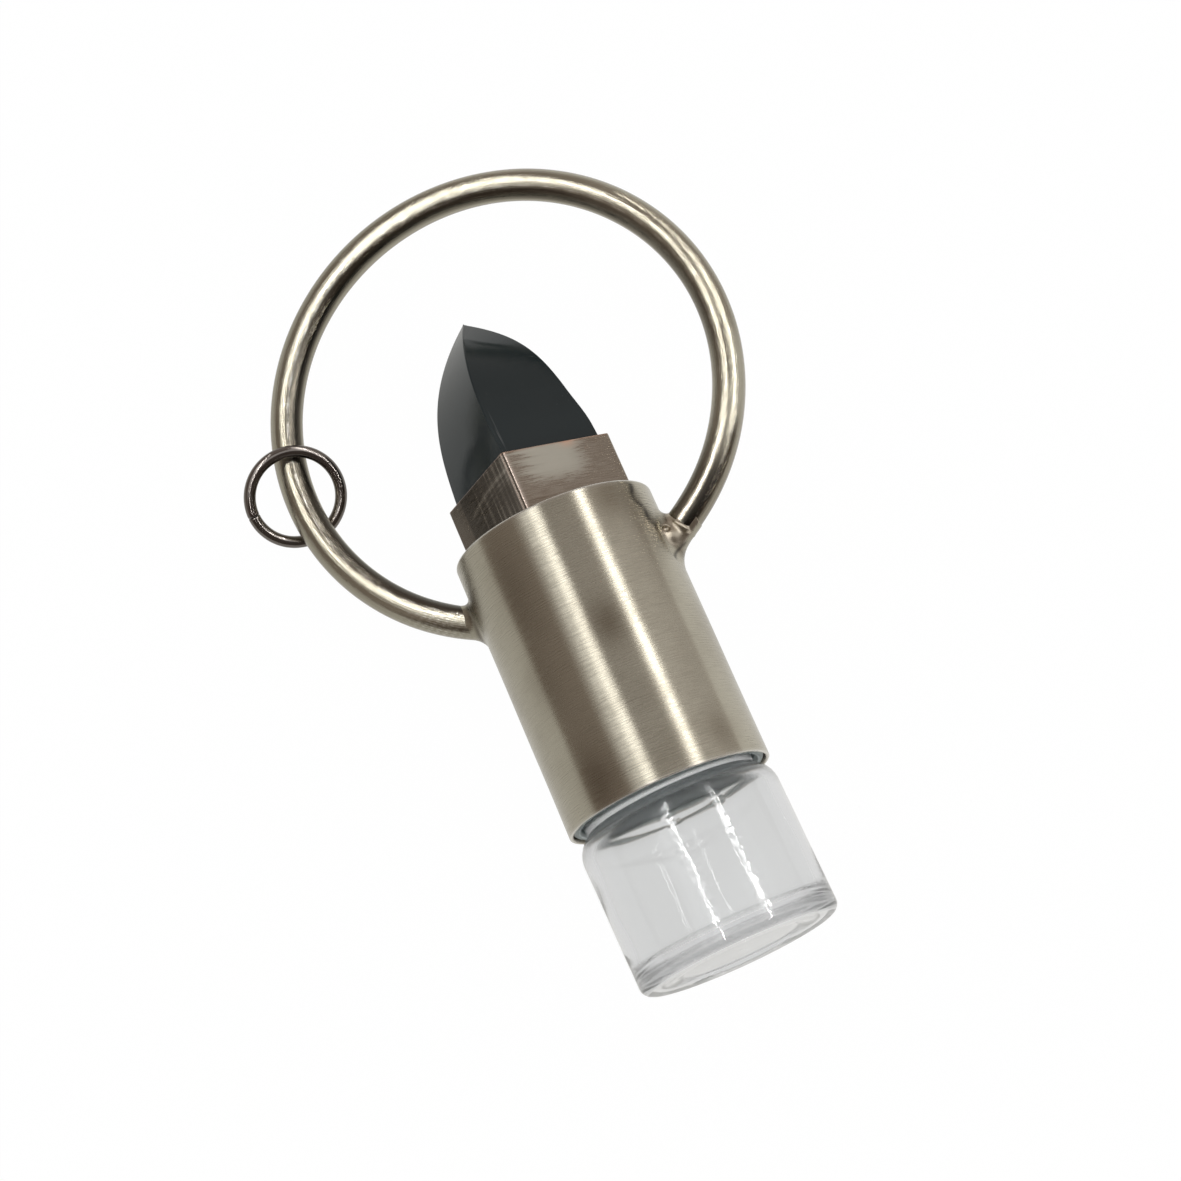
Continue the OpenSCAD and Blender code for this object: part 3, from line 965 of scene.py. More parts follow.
@dataclass
class StonePoint(Part):
    """The square stone whose faces curve in to a point, with a small rounded facet beside the point."""

    slot = Slot.STONE
    node = "stone"
    half: float = 6.04
    base: float = 0.08
    foot: float = 7.0
    height: float = 18.4
    taper: float = 0.12
    power: float = 3.2
    tip: float = 0.05
    corner_r: float = 0.16
    twist: float = math.radians(2.6)
    facet_front: float = 22.66
    facet_right: float = 19.72
    facet_normal: tuple[float, float, float] = (0.5996, 0.5915, 0.5391)
    dent: float = 0.03
    lean: float = 0.42
    steps: int = 96
    corner_steps: int = 6
    edge_steps: int = 40
    # The facet's cutter: how far its lines go past both edges, its thickness and its way above the facet.
    reach: float = 4.0
    block: float = 14.0
    above: float = 0.003

    def half_at(self, u: np.ndarray) -> np.ndarray:
        """Half width at the height's share u: half (1 - t u - (1 - t) u^p), and at least the tip's."""
        return np.maximum(self.tip, self.half * (1 - self.taper * u - (1 - self.taper) * u ** self.power))

    def turn_at(self, u: np.ndarray) -> np.ndarray:
        """How far the square is turned at the height's share u: a little back in the middle."""
        return math.pi / 4 + SIZE.bezel_turn - self.twist * np.sin(math.pi * u ** 0.9)

    def facet_low(self, q: np.ndarray) -> np.ndarray:
        """Height of the facet's lower edge, at the share q from the front ridge (-1) to the right one (1)."""
        return self.facet_front + (self.facet_right - self.facet_front) * (q + 1) / 2

    def lean_in(self, y: np.ndarray) -> np.ndarray:
        """How far the right ridge stands in from the square's corner along each side, at the height y."""
        return self.lean * rise(y, 8.6, 13.6) * (1 - rise(y, 14.5, 22.8)) / math.sqrt(2)

    def face(self, q: np.ndarray, y: np.ndarray) -> np.ndarray:
        """Points of the front right face: (half q, -half), set in by the lean and turned like the square.

        Args:
            q: share of the way from the front ridge (-1) to the right one (1).
            y: height.
        Returns:
            The points, in the pendant's millimetres.
        """
        u = np.clip((y - self.foot) / self.height, 0, 1)
        half, turn, leant = self.half_at(u), self.turn_at(u), self.lean_in(y) * (q + 1) / 2
        x, s = half * q - leant, leant - half
        return np.stack([x * np.cos(turn) - s * np.sin(turn), y, -x * np.sin(turn) - s * np.cos(turn)], -1)

    def build(self) -> bpy.types.Object:
        """Lofts rounded squares, sets in the right ridge, presses in a shallow dent and cuts the facet.

        Returns:
            The piece.
        """
        u = np.sin(np.linspace(0, math.pi / 2, self.steps))
        y = np.concatenate([[self.base, self.base + 0.1], self.foot + self.height * u])
        half = np.concatenate([[self.half - 0.1, self.half], self.half_at(u)])
        turn = self.turn_at(np.concatenate([[0, 0], u]))
        squares = np.stack([Bezel.square(w, min(self.corner_r, 0.45 * w), self.corner_steps, self.edge_steps)
                            for w in half])
        x, s = squares[..., 0], squares[..., 1]
        h, level = half[:, None], y[:, None]
        q = x / h
        leant = self.lean_in(level) * np.minimum(q + 1, 1 - s / h) / 2
        below = self.facet_low(q) - level
        hollow = rise(below, -0.1, 0.5) * (1 - rise(below, 0.5, 5.5)) * (s < -0.95 * h)
        hollow = hollow * rise(q, -1.0, -0.4) * (1 - rise(q, 0.1, 0.8))
        x, s = x - leant, s + leant + self.dent * hollow
        c, n = np.cos(turn)[:, None], np.sin(turn)[:, None]
        rings = np.stack([x * c - s * n, np.broadcast_to(level, x.shape), -(x * n + s * c)], -1)
        m = squares.shape[1]
        skin = loft(REST.lay(rings), pair(level, np.arange(m + 1)[None, :] * 8 * self.half / m))
        front_ridge = peak(np.arange(m)[None, :], m / 2 + 3, 3.0)
        skin.mark("wear_and_painted_light", peak(level, 9.5, 2.6) * front_ridge, len(y))
        stone = skin.piece("stone_point")
        cutter = self._cutter()
        cut = stone.modifiers.new("facet", "BOOLEAN")
        cut.operation, cut.object, cut.solver = "DIFFERENCE", cutter, "EXACT"
        graph = bpy.context.evaluated_depsgraph_get()
        mesh = bpy.data.meshes.new_from_object(stone.evaluated_get(graph))
        stone.modifiers.clear()
        stone.data = mesh
        bpy.data.objects.remove(cutter)
        mesh.polygons.foreach_set("use_smooth", np.ones(len(mesh.polygons), bool))
        mesh.set_sharp_from_angle(angle=math.radians(3.5))
        return stone

    def _cutter(self) -> bpy.types.Object:
        """A block whose lower face is made of straight lines from the right ridge to the facet's lower edge.

        Line k starts on the ridge at a height that falls from the tip to the facet's right end, and ends on
        the front right face, at a share that goes from the front ridge to the right one.

        Returns:
            The cutter.
        """
        k = np.linspace(0.0, 0.97, 48)
        top = self.foot + self.height + 0.05
        high = self.face(np.ones_like(k), top + (self.facet_right - top) * k)
        low = self.face(2 * k - 1, self.facet_low(2 * k - 1))
        high = np.concatenate([high[:1] - 12 * (high[1:2] - high[:1]), high])
        low = np.concatenate([low[:1] - 12 * (low[1:2] - low[:1]), low])
        way = self.reach * (low - high) / np.linalg.norm(low - high, axis=-1, keepdims=True)
        lift = np.array(self.facet_normal)
        a, b = high - way + self.above * lift, low + way + self.above * lift
        block = np.stack([a, b, b + self.block * lift, a + self.block * lift], 1)
        return loft(REST.lay(block)).piece("facet_cutter")


@dataclass
class BigRing(Part):
    """The big open ring of round wire, whose two ends go into the cap's sides."""

    steps: int = 420
    around: int = 104
    left_sink: float = 1.0
    right_stop: float = 12.55
    end_round: float = 0.14
    end_steps: int = 5
    uneven: float = 0.018
    # How far the wire bends in towards the right joint, and over what angle.
    bend: float = 0.11
    bend_span: float = 0.25

    def build(self) -> bpy.types.Object:
        """Sweeps the wire: at angle a from straight down the middle is (side + R sin a, up - R cos a, 0).

        Returns:
            The piece.
        """
        start = SIZE.ring_end(1, self.right_stop)
        end = TURN - SIZE.ring_end(-1, SIZE.cap_r - self.left_sink)
        quarter = np.linspace(0, math.pi / 2, self.end_steps)
        ease = self.end_round / SIZE.ring_r * (1 - np.cos(quarter))
        a = np.concatenate([start + ease, np.linspace(start + 3 * ease[-1], end, self.steps)])[:, None]
        p = (np.arange(self.around) * TURN / self.around)[None, :]
        pull = self.end_round * (1 - np.sin(quarter))
        r = SIZE.wire_r + self.uneven * ripple(p, a * 9, 8) - np.append(pull, np.zeros(self.steps))[:, None]
        out = SIZE.ring_at(a) - self.bend * peak(a, start, self.bend_span) + r * np.cos(p)
        rings = np.stack([SIZE.ring_side + out * np.sin(a), SIZE.ring_up - out * np.cos(a),
                          r * np.sin(p) * np.ones_like(a)], -1)
        round_ = np.arange(self.around + 1) * TURN / self.around * SIZE.wire_r
        skin = loft(REST.lay(rings), pair(a * SIZE.ring_r, round_[None, :]))
        self.marks(skin, a, p, (end - a) * SIZE.ring_r, (a - start) * SIZE.ring_r)
        return skin.piece("big_ring")

    @staticmethod
    def marks(skin: Skin, a: np.ndarray, p: np.ndarray, to_left: np.ndarray, to_right: np.ndarray) -> None:
        """Puts marks on the wire: away from the joints a painted dark reflection on the inner band with a
        beaded painted highlight along it, near the left joint filed scratches, and near the right one a
        painted dark reflection band beside a painted highlight line, with painted shade on the wire's inner
        and lower side.

        Args:
            skin: the mesh.
            a: angle round the ring from straight down.
            p: angle round the wire from its outer side.
            to_left: way along the wire to its left end, in millimetres.
            to_right: way to its right end.
        """
        turn = np.degrees(p)
        scratches = np.sin(23 * p + 2.6 * to_left) * np.sin(15 * p - 5 * to_left)
        filed = peak(to_left, 5, 3.5) * np.clip(scratches, 0, 1)
        side = rise(np.degrees(a), 195, 245)
        near = 1 - rise(to_right, 5.0, 13.0)
        far = rise(to_right, 14.0, 26.0)
        # Painted shade over the wire's inner and lower side near the right joint.
        under = near * rise(turn, 97, 104)
        bead = np.clip(0.45 + 0.6 * np.sin(5.3 * to_left) * np.sin(3.1 * to_left + 1), 0, 1)
        # Painted dark reflection on the top of the wire's inner side away from the right joint, with a beaded
        # painted highlight along it.
        inner = rise(turn, 106 + 3 * np.sin(2.2 * to_left), 124) * (1 - rise(turn, 156, 176)) * far
        thread = peak(turn, 113, 3.6) * bead * far * (0.35 + 0.65 * side)
        # A pinkish painted highlight line along the wire's top near the right joint, beside a painted dark
        # reflection band on its outer side.
        shine = 0.8 * near * peak(turn, 91 - 1.5 * np.sin(3.7 * to_right), 3.2)
        band = near * rise(turn, 38 + 6 * np.sin(2.9 * to_right), 50) * (1 - rise(turn, 79, 86))
        values = {
            "tarnish_and_shade": 0.6 * near + 0.6 * peak(to_left, 0, 1.2) + 0.5 * inner,
            "warm": 0.35 * shine,
            "pale": 0.3 * near * (turn < 40),
            "wear_and_painted_light": 0.8 * thread + shine + 0.45 * filed * (turn < 110),
            "dark": (0.4 + 0.35 * side) * inner + 0.9 * band + 0.25 * under + 0.7 * peak(to_left, 0.9, 0.35),
        }
        for name, value in values.items():
            skin.mark(name, np.clip(value, 0, 1), len(a))


@dataclass(frozen=True)
class Lump:
    """A drop of solder: its middle, its radius, and the width over which it blends into the rest."""

    x: float
    y: float
    z: float
    radius: float
    blend: float

    def outside(self, p: np.ndarray) -> np.ndarray:
        """How far points lie outside the drop."""
        return np.linalg.norm(p - np.array([self.x, self.y, self.z]), axis=-1) - self.radius


@dataclass
class SolderJoint(Part):
    """Solder where the wire meets the cap: a fillet that blends the two, with its drops and collar."""

    name: str
    side: int
    top_blend: float
    low_blend: float
    neck_r: float
    run: float
    drops: tuple[Lump, ...] = ()
    pit: Optional[Lump] = None
    collar: float = 0.0
    flush: float = 0.0
    under: float = 0.03
    step: float = 0.1
    # The box that is skinned: across, up from the wire's height, and half its depth.
    across: tuple[float, float] = (8.4, 14.6)
    up: float = 5.4
    half_depth: float = 6.2

    @property
    def height(self) -> float:
        """Height at which the ring's middle line goes into the cap's side."""
        a = SIZE.ring_end(self.side, SIZE.cap_r)
        return SIZE.ring_up - float(SIZE.ring_at(a)) * math.cos(a)

    def parts(self, p: np.ndarray) -> tuple[np.ndarray, np.ndarray]:
        """How far points lie from the two things that the solder joins.

        Args:
            p: points in the pendant's millimetres.
        Returns:
            Their distances from the cap's wall and from the wire's side.
        """
        _, out, off = SIZE.wire_at(p)
        neck = self.neck_r + self.flush * np.clip(out / SIZE.wire_r, 0, 1)
        return np.hypot(p[..., 0], p[..., 2]) - SIZE.cap_r + self.under, off - neck

    def distance(self, p: np.ndarray) -> np.ndarray:
        """How far points lie outside the solder.

        The cap's and the wire's distances are blended, more widely below the wire than above it, then blended
        with each drop and with the collar, a ring of round section about the wire; the pit is taken out with
        a smooth maximum, and the whole stays outside the tube's bore.

        Args:
            p: points in the pendant's millimetres.
        Returns:
            The distances.
        """
        cap, wire = self.parts(p)
        low = 1 / (1 + np.exp(np.clip((p[..., 1] - self.height + 0.4) / 0.6, -30, 30)))
        solid = smooth_min(cap, wire, self.top_blend + (self.low_blend - self.top_blend) * low)
        if self.collar:
            a, out, off = SIZE.wire_at(p)
            at = SIZE.ring_end(self.side, BigRing.right_stop - 0.12)
            about = np.degrees(np.arctan2(p[..., 2], out))
            there = rise(about, 28.0, 52.0) * (1 - rise(about, 98.0, 118.0))
            ring = np.hypot((a - at) * SIZE.ring_r, off - SIZE.wire_r + 0.3 * self.collar)
            solid = smooth_min(solid, ring - self.collar * (1.3 * there - 0.3), 0.3)
        for drop in self.drops:
            solid = smooth_min(solid, drop.outside(p), drop.blend)
        if self.pit:
            solid = -smooth_min(-solid, self.pit.outside(p), self.pit.blend)
        return np.maximum(solid, SIZE.bore_r + 0.15 - np.hypot(p[..., 0], p[..., 2]))

    def build(self) -> bpy.types.Object:
        """Skins the solder inside a box round the joint and marks which metal each face continues.

        Returns:
            The piece: its first material is the cap's, its second the wire's, its third bare solder.
        """
        y = self.height
        box = np.array([[self.across[0], y - self.run, -self.half_depth],
                        [self.across[1], y + self.up, self.half_depth]])
        if self.side < 0:
            box[:, 0] = -box[::-1, 0]
        pad = 2 * self.step

        def walled(p: np.ndarray) -> np.ndarray:
            """The solder's distance, cut off by the box's walls."""
            return np.maximum(self.distance(p), np.maximum(box[0] + pad - p, p - box[1] + pad).max(-1))

        points, quads = net(walled, box[0], box[1], self.step)
        middle = points[quads].mean(1)
        cap, wire = self.parts(middle)
        bare = self.bare(middle) > 0.12
        kind = np.where(bare, 2, np.where(wire < cap, 1, 0))
        chart = self.chart(points[quads], middle, kind == 1)
        skin = Skin(REST.lay(points), quads, np.zeros((0, 3), int), chart, np.zeros((0, 3, 2)))
        cap, wire = self.parts(points)
        # Darker and browner along the crease where the cap and the wire meet.
        crease = peak(cap, wire, 0.5)
        skin.marks["tarnish_and_shade"] = np.clip(0.75 * crease, 0, 1)
        skin.marks["warm"] = 0.6 * self.bare(points)
        shaded = 0.15 * crease + self.flow(points) if self.drops else 0.4 * crease
        skin.marks["dark"] = np.clip(shaded, 0, 1)
        obj = skin.piece(self.name)
        obj.data.polygons.foreach_set("material_index", kind.astype(np.int32))
        return obj

    def bare(self, p: np.ndarray) -> np.ndarray:
        """How bare the solder is: 1 on a drop or the collar's front, falling to 0 in half a millimetre.

        Args:
            p: points in the pendant's millimetres.
        Returns:
            Values from 0 to 1.
        """
        much = np.zeros(p.shape[:-1])
        for drop in self.drops:
            much = np.maximum(much, 1 - rise(drop.outside(p), 0.05, 0.55))
        if self.collar:
            front = rise(np.abs(p[..., 0]), 11.4, 11.9) * rise(p[..., 2], 0.7, 1.3)
            much = np.maximum(much, front * rise(self.parts(p)[1], -0.3, -0.05))
        return much

    def flow(self, p: np.ndarray) -> np.ndarray:
        """A dark irregular line round the film of solder that ran down below the drop, in a V on the wall.

        Args:
            p: points in the pendant's millimetres.
        Returns:
            How dark they are, from 0 to 0.75.
        """
        down = -p[..., 1] - 7.6
        about = np.degrees(np.arctan2(p[..., 2], np.abs(p[..., 0])))
        half = 9.0 * np.clip(1 - down / 2.6, 0, 1) + 0.6 * np.sin(5.0 * down)
        edge = peak(np.abs(about - 13.0 - 2.4 * down), half, 1.9)
        return 0.75 * edge * rise(down, -0.3, 0.2) * (1 - rise(down, 2.2, 2.9))

    def chart(self, corner: np.ndarray, middle: np.ndarray, on_wire: np.ndarray) -> np.ndarray:
        """Flat map of the faces: along and round the wire, or round and along the cap, each in millimetres.

        Angles of a face's corners are taken within half a turn of its middle's.

        Args:
            corner: corner points, faces x 4 x 3.
            middle: the faces' middles.
            on_wire: which faces continue the wire.
        Returns:
            Map points, faces x 4 x 2.
        """
        def near(angle: np.ndarray, first: np.ndarray) -> np.ndarray:
            """The angle, turned to within half a turn of the first."""
            return first + (angle - first + math.pi) % TURN - math.pi

        a, out, _ = SIZE.wire_at(corner)
        _, out_middle, _ = SIZE.wire_at(middle)
        about = near(np.arctan2(corner[..., 2], out), np.arctan2(middle[:, 2], out_middle)[:, None])
        wire = np.stack([a * SIZE.ring_r, about * SIZE.wire_r], -1)
        round_ = near(np.arctan2(corner[..., 2], corner[..., 0]),
                      np.arctan2(middle[:, 2], middle[:, 0])[:, None])
        cap = np.stack([round_ * SIZE.cap_r, -corner[..., 1]], -1)
        return np.where(on_wire[:, None, None], wire, cap)


@dataclass
class InnerCap(Part):
    """The light metal screw cap inside the tube, with a bead rolled round its edge."""

    slot = Slot.INNER_CAP
    node = "inner_cap"
    height: float = 12.5
    wall: float = 0.4
    roll_r: float = 0.5
    gap: float = 0.06
    recess: float = 0.15
    corner: float = 0.5
    bead_steps: int = 26
    steps: int = 192
    uneven: float = 0.006

    def build(self) -> bpy.types.Object:
        """Turns the cap's profile: closed end, wall, rolled bead and inner wall.

        Returns:
            The piece.
        """
        r, edge = SIZE.bore_r - self.gap, SIZE.mouth + self.recess
        top, e = edge + self.height, self.roll_r
        stop = math.degrees(math.acos((e - self.wall) / e)) - 360
        c, inner, under = self.corner, r - self.wall, top - self.wall
        before = np.concatenate([
            [[1.0, top]], line((2, top), (r - c, top), 4), arc(r - c, top - c, c, 90, 0, 5),
            line((r, top - c), (r, edge + e), 14)[1:],
        ])
        after = np.concatenate([
            line((inner, edge + 2 * e), (inner, under - c), 12)[1:],
            arc(inner - c, under - c, c, 0, 90, 4), [[1.0, under]],
        ])
        profile = np.concatenate([before, arc(r - e, edge + e, e, 0, stop, self.bead_steps), after])
        skin = lathe(profile, self.steps, self.uneven, 12)
        row, rows = np.arange(len(profile))[:, None], len(profile)
        roll = (row - len(before)) * -stop / self.bead_steps
        # Painted light: the inner wall and the inside of the closed end made brighter, and two painted
        # highlight lines round the rolled bead.
        bright = 1.0 * (row >= rows - len(after) - 2) + 0.9 * peak(roll, 42, 9) + 0.5 * peak(roll, 108, 9)
        skin.mark("wear_and_painted_light", bright, rows, (0.0, 1.0))
        skin.mark("tarnish_and_shade", rise(roll, -30, -10) * (1 - rise(roll, 190, 220)), rows)
        return skin.piece("inner_cap_shell")


@dataclass
class Vial(Part):
    """The glass vial: neck, round shoulder, straight body and thick bottom with a shallow hollow below."""

    body = "bottle"
    slot = Slot.GLASS
    node = "vial"
    show: float = 17.3
    body_r: float = 10.8
    wall: float = 1.1
    neck_r: float = 9.3
    neck_wall: float = 1.5
    neck_top: float = -19.095
    shoulder_r: float = 3.0
    base_t: float = 1.6
    base_round: float = 1.0
    floor_round: float = 1.6
    punt_r: float = 7.5
    punt_h: float = 0.35
    lip: float = 0.4
    inner_round: float = 0.5
    lean: float = math.radians(1.2)
    steps: int = 224
    cloudy: tuple[float, float] = (-46.7, -43.5)

    def profile(self) -> np.ndarray:
        """The closed outline of the glass, from the bottom's middle outside round to its middle inside.

        Returns:
            Its points: radius and height.
        """
        base, sh = SIZE.mouth - self.show, SIZE.mouth - self.shoulder_r
        sx, inner = self.body_r - self.shoulder_r, self.shoulder_r - self.wall
        bore, lip, soft = self.neck_r - self.neck_wall, self.lip, self.inner_round
        rim, bend = self.neck_top - lip, sh + inner + soft
        turned = math.degrees(math.acos((self.neck_r - sx) / self.shoulder_r))
        neck_foot = sh + self.shoulder_r * math.sin(math.radians(turned))
        br, fr, floor, hollow = self.base_round, self.floor_round, base + self.base_t, base + self.punt_h
        return np.concatenate([
            [[0.5, hollow]], line((2, hollow), (self.punt_r - 1.4, hollow), 6),
            arc(self.punt_r - 1.4, hollow - 0.9, 0.9, 90, 55, 4), [[self.punt_r, base + 0.03]],
            line((self.punt_r + 0.3, base), (self.body_r - br, base), 4),
            arc(self.body_r - br, base + br, br, -90, 0, 12),
            line((self.body_r, base + br), (self.body_r, sh), 40)[1:],
            arc(sx, sh, self.shoulder_r, 0, turned, 20),
            line((self.neck_r, neck_foot), (self.neck_r, rim), 14)[1:],
            arc(self.neck_r - lip, rim, lip, 0, 90, 5), arc(bore + lip, rim, lip, 90, 180, 5),
            line((bore, rim), (bore, bend), 14)[1:], arc(bore + soft, bend, soft, 180, 262, 5),
            arc(sx, sh, inner, 80, 0, 12)[1:],
            line((self.body_r - self.wall, sh), (self.body_r - self.wall, floor + fr), 40)[1:],
            arc(self.body_r - self.wall - fr, floor + fr, fr, 0, -90, 14),
            line((self.body_r - self.wall - fr, floor), (2, floor), 6)[1:], [[0.5, floor]],
        ])

    def build(self) -> bpy.types.Object:
        """Turns the outline, leans it about the middle of the mouth and lets both walls wander a little.

        Returns:
            The piece.
        """
        profile = self.profile()
        a = (np.arange(self.steps) * TURN / self.steps)[None, :]
        r, y = profile[:, :1], profile[:, 1:]
        inside = np.arange(len(profile))[:, None] > np.argmax(profile[:, 1])
        soft = np.clip((r - 6.0) / 3.0, 0, 1) * np.clip((SIZE.mouth - 1.0 - y) / 2.0, 0, 1)
        wander = np.where(inside, 0.035 * ripple(a, y * 1.6, 21), 0.012 * ripple(a, y * 1.2, 22))
        r = r + soft * wander
        x, y, z = r * np.cos(a), np.broadcast_to(y, r.shape), r * np.sin(a)
        c, s = math.cos(self.lean), math.sin(self.lean)
        dy = y - SIZE.mouth
        rings = np.stack([x * c - dy * s, SIZE.mouth + dy * c + x * s, z], -1)
        skin = loft(REST.lay(rings))
        self.marks(skin, inside, np.degrees(a), profile[:, 1:])
        return skin.piece("glass_vial")

    def marks(self, skin: Skin, inside: np.ndarray, about: np.ndarray, height: np.ndarray) -> None:
        """Marks where the glass is cloudy, at the neck, the shoulder and the bottom, and where its outside is
        rippled: in the two strips that face the lights, and more softly at the back.

        Args:
            skin: the mesh.
            inside: which rows are the inner wall.
            about: angle of each column.
            height: height of each row.
        """
        mouth, base = SIZE.mouth, SIZE.mouth - self.show
        haze = inside * (rise(height, mouth - 5.0, mouth - 1.0) + 1 - rise(height, *self.cloudy))
        shoulder = rise(height, mouth - 3.0, mouth - 2.0) + rise(height, mouth - 1.7, mouth - 0.7)
        haze = haze + 0.6 * (1.0 - inside) * shoulder
        front = sum(np.exp(-((about - middle) / 5.0) ** 4) for middle in (59.2, 87.0))
        back = rise(about, 215, 235) * (1 - rise(about, 305, 325))
        back = back * (1 - rise(height, mouth - 5.5, mouth - 4.0))
        body = (1 - rise(height, mouth - 2.0, mouth - 1.0)) * rise(height, base + 1.0, base + 2.0)
        skin.mark("haze", haze, len(height), (0.0, 1.0))
        skin.mark("outside", (1.0 - inside) * (front + 0.25 * back) * body, len(height), (1.0, 0.0))


@dataclass
class JumpRing(Part):
    """The small split ring, leaning over the big ring's wire with its low side on the floor."""

    slot = Slot.DARK
    node = "jump_ring"
    centre: tuple[float, float, float] = (-21.3264, 19.5508, 3.2128)
    radius: float = 4.95
    wire_r: float = 0.65
    lean: float = math.radians(31.18)
    cut: float = math.radians(186)
    gap: float = 0.08
    end_round: float = 0.05
    steps: int = 180
    around: int = 28

    def build(self) -> bpy.types.Object:
        """Sweeps the wire from one side of the cut to the other, with slightly rounded ends.

        Returns:
            The piece.
        """
        half, ease = self.gap / 2 / self.radius, self.end_round / self.radius
        whole = TURN - 2 * half
        way = np.concatenate([[0.0], np.linspace(ease, whole - ease, self.steps), [whole]])
        a = way + self.cut + half
        r = np.full(len(a), self.wire_r)
        r[[0, -1]] -= self.end_round
        p = np.arange(self.around) * TURN / self.around
        out = self.radius + r[:, None] * np.cos(p)
        flat = np.stack([out * np.cos(a)[:, None], out * np.sin(a)[:, None], r[:, None] * np.sin(p)], -1)
        turn = np.array(Matrix.Rotation(self.lean, 3, "X"))
        rings = MM * (flat @ turn.T + np.array(self.centre))
        round_ = np.arange(self.around + 1) * TURN / self.around * self.wire_r
        return loft(rings, pair((a * self.radius)[:, None], round_[None, :])).piece("split_ring")


@dataclass(frozen=True)
class Strip:
    """A long soft light that runs along the bottle's axis."""

    name: str
    angle: float
    width: float
    strength: float
    distance: float = 600.0
    length: float = 1300.0
    ahead: float = 150.0
    aim: tuple[float, float, float] = (1.6, -12.0, 11.0)

    def build(self, lit: bpy.types.Collection) -> None:
        """Hangs the light: angle is measured from straight up towards +X about the cap's middle.

        Args:
            lit: the pieces that it lights.
        """
        aim = Vector(self.aim) * MM
        a = math.radians(self.angle)
        away = Vector((math.sin(a), 0.0, math.cos(a)))
        data = bpy.data.lights.new(self.name, "AREA")
        data.shape, data.size, data.size_y = "RECTANGLE", self.width * MM, self.length * MM
        area = data.size * data.size_y
        data.energy = self.strength * area * math.pi
        lamp = bpy.data.objects.new(self.name, data)
        place = aim + away * self.distance * MM + Vector((0, self.ahead * MM, 0))
        turn = Matrix(((math.cos(a), 0, math.sin(a)), (0, 1, 0), (-math.sin(a), 0, math.cos(a))))
        lamp.matrix_world = Matrix.Translation(place) @ turn.to_4x4()
        lamp.visible_camera = False
        lamp.light_linking.receiver_collection = lit
        bpy.context.scene.collection.objects.link(lamp)


